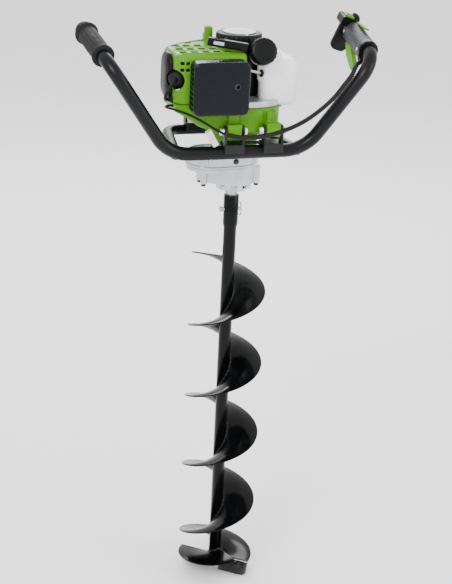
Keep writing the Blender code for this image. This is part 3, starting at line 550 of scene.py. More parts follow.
def plastic(name, colour, roughness=0.38, grain_mm=0.45, grain=0.18, coat=0.0, dust=0.12,
            gloss=0.5):
    """Moulded plastic: fine spark-eroded grain, slightly uneven colour, dust and scuffs."""
    made = Finish(name)
    cloud = made.span(made.noise(22.0, 3.0), 0.3, 0.7)
    scuffs = made.noise(160.0, 6.0, 0.7, (1.0, 0.35, 2.2))
    body = made.mix(cloud, colour, shade(colour, 0.86))
    worn = made.mix(made.span(scuffs, 0.62, 0.78, 0.0, dust), body, shade(colour, 1.15, 0.02))
    return made.surface({
        "Base Color": worn,
        "Roughness": made.span(scuffs, 0.3, 0.8, roughness - 0.06, roughness + 0.14),
        "Normal": made.bump(made.noise(1000.0 / grain_mm, 2.0), grain, 0.08),
        "Coat Weight": coat, "Coat Roughness": 0.12, "Specular IOR Level": gloss})


def paint(name, colour, roughness, wear_colour=(0.2, 0.2, 0.21), orange_peel=0.12, coat=0.6,
          scratches=0.25, gloss=0.25):
    """Sprayed metal: faint orange peel, drawn-out scratches and dust."""
    made = Finish(name)
    cloud = made.span(made.noise(14.0, 4.0), 0.35, 0.7)
    streaks = made.noise(90.0, 8.0, 0.72, (1.0, 1.0, 0.12))
    body = made.mix(cloud, colour, shade(colour, 1.4, 0.001))
    body = made.mix(made.span(streaks, 0.66, 0.8, 0.0, scratches), body, wear_colour)
    return made.surface({
        "Base Color": made.mix(made.worn_edges(0.56, 0.68), body, wear_colour),
        "Roughness": made.span(streaks, 0.35, 0.75, roughness, roughness + 0.16),
        "Normal": made.bump(made.noise(420.0, 2.0), orange_peel, 0.12),
        "Specular IOR Level": gloss, "Coat Weight": coat, "Coat Roughness": 0.1})


def cast_metal(name, colour, roughness=0.42, grain_mm=0.9, grain=0.35, metallic=0.85):
    """Shot-blasted die casting: fine pitting, cloudy tone and brighter rubbed edges."""
    made = Finish(name)
    cloud = made.noise(35.0, 5.0, 0.6)
    body = made.mix(made.span(cloud, 0.3, 0.72), colour, shade(colour, 0.78))
    waves = made.bump(made.noise(110.0, 2.0), 0.25, 0.4)
    return made.surface({
        "Base Color": made.mix(made.worn_edges(0.53, 0.62), body, shade(colour, 1.25)),
        "Roughness": made.span(cloud, 0.3, 0.7, roughness - 0.05, roughness + 0.12),
        "Normal": made.bump(made.noise(1000.0 / grain_mm, 3.0, 0.6), grain, 0.12, waves),
        "Metallic": metallic})


def bright_metal(name, colour, roughness=0.25, metallic=1.0, lay=(1.0, 1.0, 0.06), grain=0.12):
    """Turned or plated steel: fine tool lines and slight tarnish."""
    made = Finish(name)
    tarnish = made.noise(60.0, 4.0)
    return made.surface({
        "Base Color": made.mix(made.span(tarnish, 0.4, 0.75, 0.0, 0.8), colour, shade(colour, 0.7)),
        "Roughness": made.span(tarnish, 0.3, 0.7, roughness, roughness + 0.18),
        "Normal": made.bump(made.noise(1400.0, 3.0, 0.6, lay), grain, 0.05),
        "Metallic": metallic})


def rubber(name, colour, roughness=0.72):
    """Soft rubber: matt, slightly dusty, with a fine leathery skin."""
    made = Finish(name)
    cells = made.node("TexVoronoi", {"Scale": 900.0, "Vector": made.where})
    dust = made.noise(70.0, 6.0, 0.65)
    dusty = shade(colour, 1.6, 0.005)
    return made.surface({
        "Base Color": made.mix(made.span(dust, 0.45, 0.8, 0.0, 0.6), colour, dusty),
        "Roughness": made.span(dust, 0.3, 0.7, roughness - 0.08, roughness + 0.1),
        "Normal": made.bump(cells.outputs["Distance"], 0.25, 0.12),
        "Specular IOR Level": 0.25})


def tank_plastic(name):
    """Blow-moulded translucent tank: milky, with wall-thickness clouds, and darker towards the bottom."""
    made = Finish(name)
    cloud = made.noise(30.0, 3.0)
    body = made.mix(made.span(cloud, 0.35, 0.7), (0.94, 0.95, 0.97), (0.88, 0.89, 0.91))
    height = made.node("SeparateXYZ", {"Vector": made.where}).outputs["Z"]
    # Colour turns darker and slightly yellower from 1.03 m down to 0.99 m, towards the tank's bottom.
    darker_low_down = made.span(height, 1.030, 0.990, 0.0, 0.35)
    return made.surface({
        "Base Color": made.mix(darker_low_down, body, (0.70, 0.70, 0.66)),
        "Roughness": made.span(cloud, 0.3, 0.7, 0.28, 0.4),
        "Normal": made.bump(made.noise(140.0, 3.0), 0.15, 0.3),
        "Subsurface Weight": 0.45, "Subsurface Radius": (0.9, 1.0, 1.0), "Subsurface Scale": 0.006})


LIME = plastic("lime_plastic", (0.078, 0.245, 0.004), 0.32, dust=0.3, gloss=0.18)
LIME_TOUCH = plastic("lime_control_plastic", (0.09, 0.28, 0.005), 0.36, dust=0.4, gloss=0.2)
BLACK_PLASTIC = plastic("black_plastic", (0.0025, 0.0027, 0.0032), 0.34, dust=0.12, gloss=0.16)
GUARD_PLASTIC = plastic("guard_plastic", (0.0022, 0.0031, 0.0062), 0.26, grain=0.02,
                        dust=0.0, gloss=0.18)
GREY_PLASTIC = plastic("grey_handle_plastic", (0.030, 0.032, 0.034), 0.5, grain=0.3, dust=0.3,
                       gloss=0.3)
DISC_PLASTIC = plastic("disc_plastic", (0.50, 0.52, 0.53), 0.3, coat=0.4, dust=0.15)
CREAM_PLASTIC = plastic("cream_plastic", (0.72, 0.68, 0.55), 0.4, dust=0.2)
SLEEVE_PLASTIC = plastic("sleeve_plastic", (0.003, 0.0032, 0.0036), 0.42, dust=0.2, gloss=0.2)
HOSE = plastic("fuel_hose_plastic", (0.52, 0.47, 0.34), 0.35, coat=0.2, dust=0.2)
GRIP_RUBBER = rubber("grip_rubber", (0.004, 0.004, 0.0045))
SEAL_RUBBER = rubber("seal_rubber", (0.003, 0.003, 0.0033), 0.6)
BIT_PAINT = paint("bit_paint", (0.0012, 0.0013, 0.0016), 0.12, coat=0.0, scratches=0.02, gloss=0.13)
FRAME_PAINT = paint("frame_paint", (0.0024, 0.0026, 0.0033), 0.28, orange_peel=0.2, coat=0.0,
                    scratches=0.02, gloss=0.18)
CLAMP_PAINT = paint("clamp_paint", (0.005, 0.005, 0.0056), 0.36, orange_peel=0.25, coat=0.05,
                    scratches=0.05)
CAST_ALLOY = cast_metal("cast_alloy", (0.58, 0.59, 0.63), 0.40)
DARK_CAST = cast_metal("engine_alloy", (0.52, 0.53, 0.53), 0.45)
ZINC = bright_metal("zinc_plate", (0.72, 0.73, 0.74), 0.22)
STEEL = bright_metal("machined_steel", (0.50, 0.51, 0.53), 0.28)
BLACK_STEEL = bright_metal("blackened_steel", (0.05, 0.05, 0.055), 0.34)
BLADE_STEEL = paint("blade_steel", (0.004, 0.004, 0.0045), 0.2, (0.16, 0.16, 0.17), coat=0.1,
                    scratches=0.04)
CERAMIC = plastic("plug_ceramic", (0.80, 0.80, 0.78), 0.2, coat=0.6, dust=0.05)
TANK = tank_plastic("tank_plastic")


# ---------------------------------------------------------------- camera, floor and light

def build_camera():
    data = bpy.data.cameras.new("camera")
    data.sensor_width = 36.0
    data.lens = CAMERA_LENS
    data.clip_start = 0.05
    data.clip_end = 50.0
    camera = bpy.data.objects.new("camera", data)
    bpy.context.scene.collection.objects.link(camera)
    turn = (Matrix.Rotation(math.radians(-CAMERA_HEADING), 4, "Z")
            @ Matrix.Rotation(math.radians(90 - CAMERA_DIP), 4, "X")
            @ Matrix.Rotation(math.radians(CAMERA_ROLL), 4, "Z"))
    camera.matrix_world = Matrix.Translation(Vector(CAMERA_PLACE)) @ turn
    bpy.context.scene.camera = camera


def area_light(name, place, aim, size, power, shade=(1.0, 1.0, 1.0)):
    data = bpy.data.lights.new(name, "AREA")
    data.shape = "RECTANGLE"
    data.size, data.size_y = size
    data.energy = power
    data.color = shade
    lamp = bpy.data.objects.new(name, data)
    bpy.context.scene.collection.objects.link(lamp)
    lamp.location = place
    lamp.rotation_euler = (Vector(aim) - Vector(place)).to_track_quat("-Z", "Y").to_euler()


def build_studio():
    """Seamless pale floor and three soft boxes."""
    size, bend, rise = 14.0, 3.0, 6.0
    grid = bmesh.new()
    rows = []
    profile = [(-size, 0.0), (size - bend, 0.0)]
    for step in range(1, 17):
        turn = math.pi / 2 * step / 16
        profile.append((size - bend + bend * math.sin(turn), bend - bend * math.cos(turn)))
    profile.append((size, rise))
    for along, up in profile:
        rows.append([grid.verts.new((side * size, along, up)) for side in (-1, 1)])
    for here, there in zip(rows, rows[1:]):
        grid.faces.new((here[0], here[1], there[1], there[0]))
    mesh = bpy.data.meshes.new("floor")
    grid.to_mesh(mesh)
    grid.free()
    mesh.shade_smooth()
    floor = bpy.data.objects.new("floor", mesh)
    bpy.context.scene.collection.objects.link(floor)
    floor.rotation_euler.z = math.radians(-CAMERA_HEADING)
    floor.location.z = -0.0005
    paper = Finish("floor_paper")
    tone = paper.mix(paper.noise(3.0, 2.0), (0.93, 0.93, 0.93), (0.91, 0.91, 0.91))
    floor.data.materials.append(paper.surface({"Base Color": tone, "Roughness": 0.9}))

    world = bpy.data.worlds.new("studio")
    world.use_nodes = True
    sky = world.node_tree.nodes["Background"].inputs
    sky["Color"].default_value = (1.0, 1.0, 1.0, 1.0)
    sky["Strength"].default_value = 1.7
    bpy.context.scene.world = world
    area_light("key", (-2.2, -2.6, 3.2), (0, 0, 0.7), (1.6, 1.6), 120.0)
    area_light("fill", (2.8, -2.0, 1.8), (0, 0, 0.8), (1.4, 2.2), 45.0)
    area_light("rim", (0.6, 2.8, 2.6), (0, 0, 0.8), (2.4, 1.2), 90.0)


build_camera()
build_studio()


# ---------------------------------------------------------------- cords

def handle_point(side, along):
    """Point on a handle's axis; side is -1 for left and 1 for right."""
    start = Vector((ARM_X + side * ARM_HALF, ARM_Y, ARM_Z))
    return start + (RIGHT_HANDLE_DIR if side > 0 else LEFT_HANDLE_DIR) * along


def cord_piece(name, path, radius, material, node, swell=None, steps=20):
    """A cord held at both ends, built on the route its CAD solid takes."""
    item = add(solid(name, sweep(path, radius, steps, swell)), POWER_HEAD, material, node, sharp=60)
    return item


def corrugated(pitch, depth):
    """Rings along a sleeve: full radius on the crests, slightly less between them."""
    def swell(distance, turn):
        return 1.0 - depth * (0.5 - 0.5 * math.cos(2 * math.pi * distance / pitch)) ** 2
    return swell


def build_cords():
    lobe = facing(RIGHT_HANDLE_DIR, HANDLE_SPIN) @ Vector((9, -20, 0))
    start = handle_point(1, 45.2) + lobe
    sleeve = [start, start - RIGHT_HANDLE_DIR * 10, (201, -93, 1073), (193, -104, 1069),
              (184, -113, 1058), (168, -119, 1041), (147, -122, 1017), (122, -124, 996),
              (94, -124, 977), (64, -121, 962), (24, -116, 949), (-18, -111, 946),
              (-50, -107, 951)]
    cord_piece("conduit_sleeve", smooth_path(sleeve, 0.7), 4.5, SLEEVE_PLASTIC, "cable_conduit",
               corrugated(3.6, 0.16), 16)
    cable = [(-51.2, -106.9, 951.5), (-70, -103, 961), (-94, -97, 975), (-120, -92, 988),
             (-141, -88, 995), (-154, -78, 997.5), (-155, -66, 997), (-146, -60, 997),
             (-136, -60, 997), (-132, -60, 997), (-125, -54, 998.5), (-123, -40, 1001),
             (-124, -18, 1006), (-123, 6, 1016), (-117, 21.5, 1028), (-108, 27.5, 1035),
             (-100, 33, 1046), (-91, 37, 1057), (-88, 43, 1060.5), (-88, 54, 1061),
             (-80, 72, 1061), (-68, 88, 1061.4)]
    cord_piece("throttle_cable_sheath", smooth_path(cable, 2.5), 2.2, SLEEVE_PLASTIC,
               "throttle_cable", None, 16)
    start = PLUG_SEAT + PLUG_DIR * 64.6
    lead = [start, start + PLUG_DIR * 6, (-152, -80, 1034), (-158, -76, 1020),
            (-156, -66, 1011), (-150, -58, 1008), (-142.2, -57.5, 1008)]
    cord_piece("plug_lead", smooth_path(lead, 1.5), 3.0, SEAL_RUBBER, "ignition_lead",
               None, 20)
    pipe = [(29.6, -48, 1050), (16, -52, 1054), (-4, -54, 1060), (-42, -48, 1074),
            (-52, -24, 1086), (-50, 16, 1087), (-42, 38, 1076), (-36, 52, 1064),
            (-35, 62, 1059.5), (-35, 71, 1054), (-35, 79.6, 1052.5)]
    cord_piece("fuel_hose", smooth_path(pipe, 2.5), 2.4, HOSE, "fuel_line", None, 16)


# ---------------------------------------------------------------- bit

def flight_height(turns):
    """Height of the main flight: a flatter entry that eases into the full pitch."""
    if turns >= ENTRY_TURNS:
        return FLIGHT_BOTTOM + ENTRY_RISE + BIT_PITCH * (turns - ENTRY_TURNS)
    first = 2 * ENTRY_RISE / ENTRY_TURNS - BIT_PITCH
    growth = (BIT_PITCH - first) / (2 * ENTRY_TURNS)
    return FLIGHT_BOTTOM + first * turns + growth * turns * turns


def second_height(turns):
    return FLIGHT_BOTTOM + SECOND_PITCH * turns


def screw_plate(end, phase, height, steps_per_turn=96):
    """Rolled flight with a slightly rounded rim, from the shank to the full radius."""
    inner, rim = SHANK_R - 0.6, 1.1
    outline = [(inner, 0), (30, 0), (50, 0), (BIT_R - rim, 0), (BIT_R - 0.3, 0.45),
               (BIT_R, FLIGHT_T / 2), (BIT_R - 0.3, FLIGHT_T - 0.45), (BIT_R - rim, FLIGHT_T),
               (50, FLIGHT_T), (30, FLIGHT_T), (inner, FLIGHT_T)]
    grid = bmesh.new()
    steps = round(end * steps_per_turn)
    sections = []
    for step in range(steps + 1):
        turns = 0.001 + (end - 0.002) * step / steps
        turn = phase + 2 * math.pi * turns
        wave = 0.25 * math.sin(turns * 9.0) * math.sin(turns * 23.0)
        section = []
        for radius, lift in outline:
            lift += wave * (radius - inner) / BIT_R
            section.append(grid.verts.new((*polar(radius, turn), height(turns) + lift)))
        sections.append(section)
    return skin(grid, sections)


def weld_bead(end, phase, height, lift, radius=1.9):
    """Ripple-backed bead where a flight meets the shank."""
    path = []
    steps = round(end * 110)
    for step in range(steps + 1):
        turns = 0.01 + (end - 0.02) * step / steps
        turn = phase + 2 * math.pi * turns
        path.append(Vector((*polar(SHANK_R * 1.03, turn), height(turns) + lift)))

    def ripple(distance, turn):
        return 1.0 + 0.12 * math.sin(distance * 2.6) + 0.07 * math.sin(distance * 0.73)
    return sweep(path, radius, 8, ripple)


def blade(phase):
    """Bolt-on cutter with a ground bevel along its lower edge."""
    inner, outer = SHANK_R + 1.2, BIT_R - 0.3
    grid = bmesh.new()
    steps = 14
    rows = []
    for step in range(steps + 1):
        share = step / steps
        x = inner + (outer - inner) * share
        drop = BLADE_DROP - 5 * max(0.0, (share - 0.8) / 0.2) ** 2
        row = []
        for y, z in ((0.0, -1.0), (0.0, -drop + 1.0), (1.1, -drop), (1.5, -drop),
                     (4.0, -drop + 8.0), (4.0, -1.0), (3.4, 0.0), (0.6, 0.0)):
            row.append(grid.verts.new((x, y, z)))
        rows.append(row)
    skin(grid, rows)
    move = (Matrix.Rotation(phase, 4, "Z") @ Matrix.Translation((0, -1.0, FLIGHT_BOTTOM - 0.6))
            @ Matrix.Rotation(math.radians(-25), 4, "X"))
    bmesh.ops.transform(grid, matrix=move, verts=grid.verts)
    return grid, move


def build_bit():
    profile = [(0, 24), (SHANK_R - 1, 24), (SHANK_R, 25.5), (SHANK_R, 737), (SHANK_R + 0.6, 741),
               (14.1, 745), (14.5, 747), (14.5, 803.6), (13.6, 805), (10.3, 805), (10.3, 744),
               (0, 744)]
    shank = solid("bit_shank", revolve(profile, steps=72))
    carve(shank, bar(4.3, -30, 30, (0, 0, DRIVE_PIN_Z), (1, 0, 0), 0.1, 32))
    add(shank, AUGER, BIT_PAINT, "bit_tube")
    add(solid("screw_flight", screw_plate(FLIGHT_TURNS, LEAD_ANGLE, flight_height)), AUGER,
        BIT_PAINT, "flight_1", "flight_2", "flight_3", "flight_4", sharp=30)
    second = LEAD_ANGLE + math.pi
    add(solid("lower_half_flight", screw_plate(SECOND_TURNS, second, second_height)), AUGER,
        BIT_PAINT, "second_flight", sharp=30)
    add(solid("flight_welds", weld_bead(FLIGHT_TURNS, LEAD_ANGLE, flight_height, FLIGHT_T + 0.3),
              weld_bead(FLIGHT_TURNS, LEAD_ANGLE, flight_height, -0.3),
              weld_bead(SECOND_TURNS, second, second_height, FLIGHT_T + 0.3)),
        AUGER, BIT_PAINT, sharp=0)
    for name, node, phase in (("main_blade", "cutter_main", LEAD_ANGLE),
                              ("second_blade", "cutter_second", second)):
        grid, move = blade(phase)
        add(solid(name, grid), AUGER, BLADE_STEEL, node, sharp=25)
        for index, x in enumerate((28.0, 56.0)):
            centre = move @ Vector((x, -0.2, -9.0))
            outward = move.to_3x3() @ Vector((0, -1, 0))
            hex_screw(f"{name}_bolt_{index + 1}", centre, outward, 9, 5.0, AUGER, BLACK_STEEL)
    pilot = [(0, 23.8), (0, 0), (1.2, 2.2), (3.0, 7), (4.5, 9), (6, 14), (8.4, 16.6), (9, 17.6),
             (9, 23.8)]

    def fluted(turn, radius, height):
        return radius * (1 - 0.14 * max(0.0, math.cos(2 * (turn - height * 0.12))) ** 3)
    add(solid("pilot_tip", revolve(pilot, steps=48, reach=fluted)), AUGER, BLADE_STEEL,
        "pilot_point")
    seat = (0, 0, DRIVE_PIN_Z)
    pin = solid("socket_pin", bar(3.95, -21, 19, seat, (1, 0, 0), 0.9, 40),
                bar(5.6, -22.4, -18.6, seat, (1, 0, 0), 0.8, 40))
    add(pin, AUGER, STEEL, "drive_pin")
    clip = []
    for step in range(61):
        turn = 2 * math.pi * 0.85 * step / 60
        clip.append(Vector((17.0, 13 * math.cos(turn), DRIVE_PIN_Z + 13 * math.sin(turn))))
    add(solid("lynch_ring", sweep(clip, 1.1, 14)), AUGER, STEEL, "pin_ring", sharp=60)
    repaint(STEEL, "output_shaft", "output_gear")


# ---------------------------------------------------------------- gearbox

def build_gearbox():
    belt = wrapped([(LAY_X, 0, LAY_UPPER_R), (0, 0, GEAR_SIDE_R)])
    rim = wrapped([(LAY_X, 0, LAY_UPPER_R + 1.6), (0, 0, GEAR_SIDE_R + 1.6)])
    lugs = ((LAY_X - 26, -35.5), (LAY_X - 26, 35.5), (35, -26), (35, 26))
    upper = solid("gear_housing", round_free(prism(belt, SPLIT_HIGH, UPPER_TOP)),
                  bar(15, UPPER_TOP - 6, NECK_TOP), prism(rim, SPLIT_HIGH, 871.5),
                  *[bar(5.2, SPLIT_HIGH, UPPER_TOP - 5, (x, y, 0)) for x, y in lugs],
                  block((-62, -46.5, 877), (-40, -40, 891), 2))
    cast(upper, 0.9, 4, 0.45)
    add(upper, POWER_HEAD, CAST_ALLOY, "gearbox_upper", sharp=0)
    foot = wrapped([(LAY_X, 0, LAY_LOWER_R), (0, 0, GEAR_SIDE_R)])
    parts = [prism(foot, LOWER_BOTTOM, SPLIT_LOW),
             bar(29, FLANGE_BOTTOM, LOWER_BOTTOM + 5, edge=1.5), prism(belt, 859.5, SPLIT_LOW)]
    for x, y in HOUSING_BOSSES:
        parts.append(bar(6.5, LOWER_BOTTOM - 1, SPLIT_LOW, (x, y, 0), edge=1.5))
    for turn in (-150, -118, -86, -54):
        x, y = polar(37, math.radians(turn))
        parts += [bar(5.4, 824, 860, (x, side * y, 0), edge=1.5) for side in (1, -1)]
    lower = solid("gear_housing_foot", *parts)
    carve(lower, bar(16.3, 810, 842, edge=0.1))
    cast(lower, 0.9, 4, 0.45)
    add(lower, POWER_HEAD, CAST_ALLOY, "gearbox_lower", sharp=0)
    for index, (x, y) in enumerate(HOUSING_BOSSES):
        socket_screw(f"housing_screw_{index + 1}", (x, y, LOWER_BOTTOM - 1), (0, 0, -1), 4.4, 4.6,
                     POWER_HEAD, BLACK_STEEL)
    for index, turn in enumerate((-135, -90, -45, 45, 90, 135)):
        x, y = polar(22.5, math.radians(turn))
        socket_screw(f"flange_screw_{index + 1}", (x, y, FLANGE_BOTTOM + 0.4), (0, 0, -1), 2.6, 2.4,
                     POWER_HEAD, BLACK_STEEL)
    hex_screw("oil_plug", (-8, -43.2, 881), (0, -1, 0), 8, 4.0, POWER_HEAD, BLACK_STEEL)
    socket_screw("level_screw", (14, -28.6, 826), (0, -1, 0), 2.4, 1.6, POWER_HEAD, BLACK_STEEL)
    repaint(STEEL, "output_bearing", "drum_bearing", "intermediate_shaft", "intermediate_gear",
            "clutch_drum")
    repaint(SEAL_RUBBER, "oil_seal")


def round_free(grid):
    """Slightly chamfer a prism's rims so that casting starts from soft edges."""
    bmesh.ops.bevel(grid, geom=[e for e in grid.edges if e.calc_face_angle(0) > 1.0],
                    offset=2.0, segments=2, affect="EDGES")
    return grid


# ---------------------------------------------------------------- frame

def build_frame():
    left_end = Vector((ARM_X - ARM_HALF, ARM_Y, ARM_Z))
    right_end = Vector((ARM_X + ARM_HALF, ARM_Y, ARM_Z))
    corners = [left_end + LEFT_HANDLE_DIR * HANDLE_REACH, left_end,
               (FRAME_X - HALF_FRONT, FRONT_Y, FRAME_Z), (FRAME_X + HALF_FRONT, FRONT_Y, FRAME_Z),
               right_end, right_end + RIGHT_HANDLE_DIR * HANDLE_REACH]
    radii = [UPPER_BEND_R, LOWER_BEND_R, LOWER_BEND_R, UPPER_BEND_R]
    add(solid("front_handlebar", sweep(corner_path(corners, radii), TUBE_R, 48)), POWER_HEAD,
        FRAME_PAINT, "handlebar", sharp=60)
    hoop = [(FRAME_X - HALF_FRONT + 14, FRONT_Y - 2, FRAME_Z),
            (FRAME_X - HALF_REAR, REAR_Y, FRAME_Z), (FRAME_X + HALF_REAR, REAR_Y, FRAME_Z),
            (FRAME_X + HALF_FRONT - 14, FRONT_Y - 2, FRAME_Z)]
    beads = []
    for side in (-1, 1):
        end = Vector(hoop[0] if side < 0 else hoop[-1])
        away = (Vector(hoop[1] if side < 0 else hoop[2]) - end).normalized()
        across = away.cross(Vector((0, 0, 1))).normalized()
        ring = []
        for step in range(49):
            turn = 2 * math.pi * step / 48
            point = across * math.cos(turn) * 10.6 + Vector((0, 0, 1)) * math.sin(turn) * 10.6
            reach = math.sqrt(max(1.0, (TUBE_R + 0.5) ** 2 - point.z ** 2)) / abs(away.y)
            ring.append(end + Vector((0, 2, 0)) + point + away * reach)
        beads.append(sweep(ring, 2.0, 10, lambda d, t: 1 + 0.15 * math.sin(d * 2.4)))
    add(solid("rear_hoop", sweep(corner_path(hoop, [28, 28]), REAR_TUBE_R, 40), *beads),
        POWER_HEAD, FRAME_PAINT, "rear_frame", sharp=60)
    cast_node("front_clamp", "front_bracket", 0.7, 0.5, CLAMP_PAINT)
    cast_node("rear_clamp", "rear_bracket", 0.7, 0.5, CLAMP_PAINT)
    for side, node in ((0, "front_bolt_left"), (1, "front_bolt_right")):
        clamp_bolt(node + "_set", (BRACKET_X[side], FRONT_Y - 5, BOLT_Z), node)
    for index, middle in enumerate(REAR_BRACKET_X):
        clamp_bolt(f"rear_bolt_{index + 1}", (middle, REAR_Y + 5, BOLT_Z), None)


def clamp_bolt(name, centre, node):
    """Through bolt across a clamp: flanged head on the left, nut and thread on the right."""
    centre = Vector(centre)
    shaft = bar(3.9, -24, 25.5, centre, (1, 0, 0), 0.5, 32)
    flange = bar(8.2, -21.0, -19.3, centre, (1, 0, 0), 0.5, 36)
    head = prism(hexagon(12.6), -26.4, -20.6, centre, (1, 0, 0))
    washer = bar(8.2, 19.3, 20.8, centre, (1, 0, 0), 0.4, 36)
    nut = prism(hexagon(12.6), 20.8, 25.0, centre, (1, 0, 0))
    item = solid(name, shaft, flange, head, washer, nut)
    round_edges(item, 0.35, 2, 50)
    add(item, POWER_HEAD, ZINC, *([node] if node else []))


def build_grip():
    """Left grip: end flange, long palm swell with grooves, and a rounded cap."""
    inner = TUBE_R + 0.3
    outline = [(inner, 46), (19.6, 46), (20.9, 47.2), (20.9, 49.6), (19.8, 51.2), (18.0, 54),
               (17.6, 58)]
    for step in range(1, 28):
        along = 58 + step * (150 - 58) / 28
        swell = 17.6 + 0.9 * math.sin(math.pi * step / 28)
        outline.append((swell, along))
    outline += [(17.8, 150.5), (21.0, 153), (21.9, 155), (21.9, 157.4), (20.8, 159.4), (18, 161.5),
                (17.4, 168), (17.0, 174), (15.4, 178.4), (12.5, 180.2), (0, 180.6),
                (0, 176.3), (inner, 176.3)]

    def palm(turn, radius, height):
        if radius <= inner + 0.1 or not 60 < height < 148:
            return radius
        edge = min(1.0, (height - 60) / 6, (148 - height) / 6)
        groove = max(0.0, math.cos(8 * turn)) ** 6
        return radius - 1.1 * edge * groove
    add(solid("left_hand_grip", revolve(outline, handle_point(-1, 0), LEFT_HANDLE_DIR, 160, palm)),
        POWER_HEAD, GRIP_RUBBER, "left_grip", sharp=50)


# ---------------------------------------------------------------- engine

def build_fan_housing():
    parts = [bar(BASE_R, BASE_BOTTOM, BASE_TOP, edge=5, steps=120),
             bar(43, UPPER_TOP + 0.3, BASE_BOTTOM + 6, edge=1.5, steps=96)]
    duct = [(-20, 950), (-73, 950), (-130, 984), (-139.5, 989), (-139.5, 1002), (-88, 1002),
            (-88, 984), (-20, 984)]
    parts.append(prism([(-x, z) for x, z in duct], -78, 50, (0, 0, 0), (0, 1, 0)))
    for y, toward, middles in ((FRONT_Y, -1, BRACKET_X), (REAR_Y, 1, REAR_BRACKET_X)):
        for middle in middles:
            edge = y + toward * 14
            parts.append(block((middle - 14, min(edge, 0), 941), (middle + 14, max(edge, 0), 966), 3))
            parts.append(block((middle - 10, min(y, 0), 960), (middle + 10, max(y, 0), 984), 3))
    for index in range(36):
        x, y = polar(80.2, 2 * math.pi * index / 36)
        if x > 30 or abs(y) < 50 or abs(y) > 60:
            parts.append(bar(1.5, 952, 979, (x, y, 0), edge=0.8, steps=12))
    parts.append(prism(wrapped([(-8, 0, 79), (12, 0, 77)]), 984.5, 989.8))
    shell = solid("fan_shell", *parts)
    corner = [(-160, 4), (-139.5, 4), (-126, 22), (-84, 46), (-78, 60), (-160, 60)]
    carve(shell, prism(corner, 940, 1010))
    carve(shell, bar(68, 947.4, 998, edge=0.1, steps=64), bar(31, 880, 956, edge=0.1),
          block((-132, -66, 992), (-92, 6, 1010), 4), bar(3.2, -20, 20, (-140, -60, 997), (1, 0, 0), 0.1))
    cast(shell, 1.15, 3, 0.4)
    add(shell, POWER_HEAD, LIME, "fan_housing", sharp=0)
    cast_node("crank_housing", "crankcase", 1.1, 0.4, CAST_ALLOY)
    shroud = solid("crank_shroud", bar(CRANKCASE_SHROUD_R, 1003, 1087.6, edge=1.5, steps=96))
    add(shroud, POWER_HEAD, BLACK_PLASTIC)
    # Painted shade: the cylinder under the cover takes the dark clamp paint so that the cover's slots
    # look dark inside.
    repaint(CLAMP_PAINT, "cylinder")
    repaint(DARK_CAST, "flywheel_fan")
    repaint(STEEL, "crankshaft", "clutch_hub")
    repaint(BLADE_STEEL, "muffler")


def hull(levels):
    """Convex solid through outlines given with their heights."""
    grid = bmesh.new()
    for outline, height in levels:
        for x, y in outline:
            grid.verts.new((x, y, height))
    made = bmesh.ops.convex_hull(grid, input=grid.verts[:])
    spare = [v for v in made["geom_interior"] + made["geom_unused"] if isinstance(v, bmesh.types.BMVert)]
    bmesh.ops.delete(grid, geom=list(set(spare)), context="VERTS")
    return grid


def cover_outline(inset):
    """Plan of the cylinder cover, drawn in by an even inset."""
    rounds = [(x, y, radius - inset) for x, y, radius in COVER_BELT[:3]]
    ends = [(x, y - math.copysign(inset, y), radius) for x, y, radius in COVER_BELT[3:]]
    return wrapped(rounds + ends, 96)


def quarter_round(inset_to, rise, steps=7):
    """Inset and height along a quarter round rim."""
    turns = [math.pi / 2 * step / (steps - 1) for step in range(steps)]
    return [(inset_to * (1 - math.cos(turn)), rise * math.sin(turn)) for turn in turns]


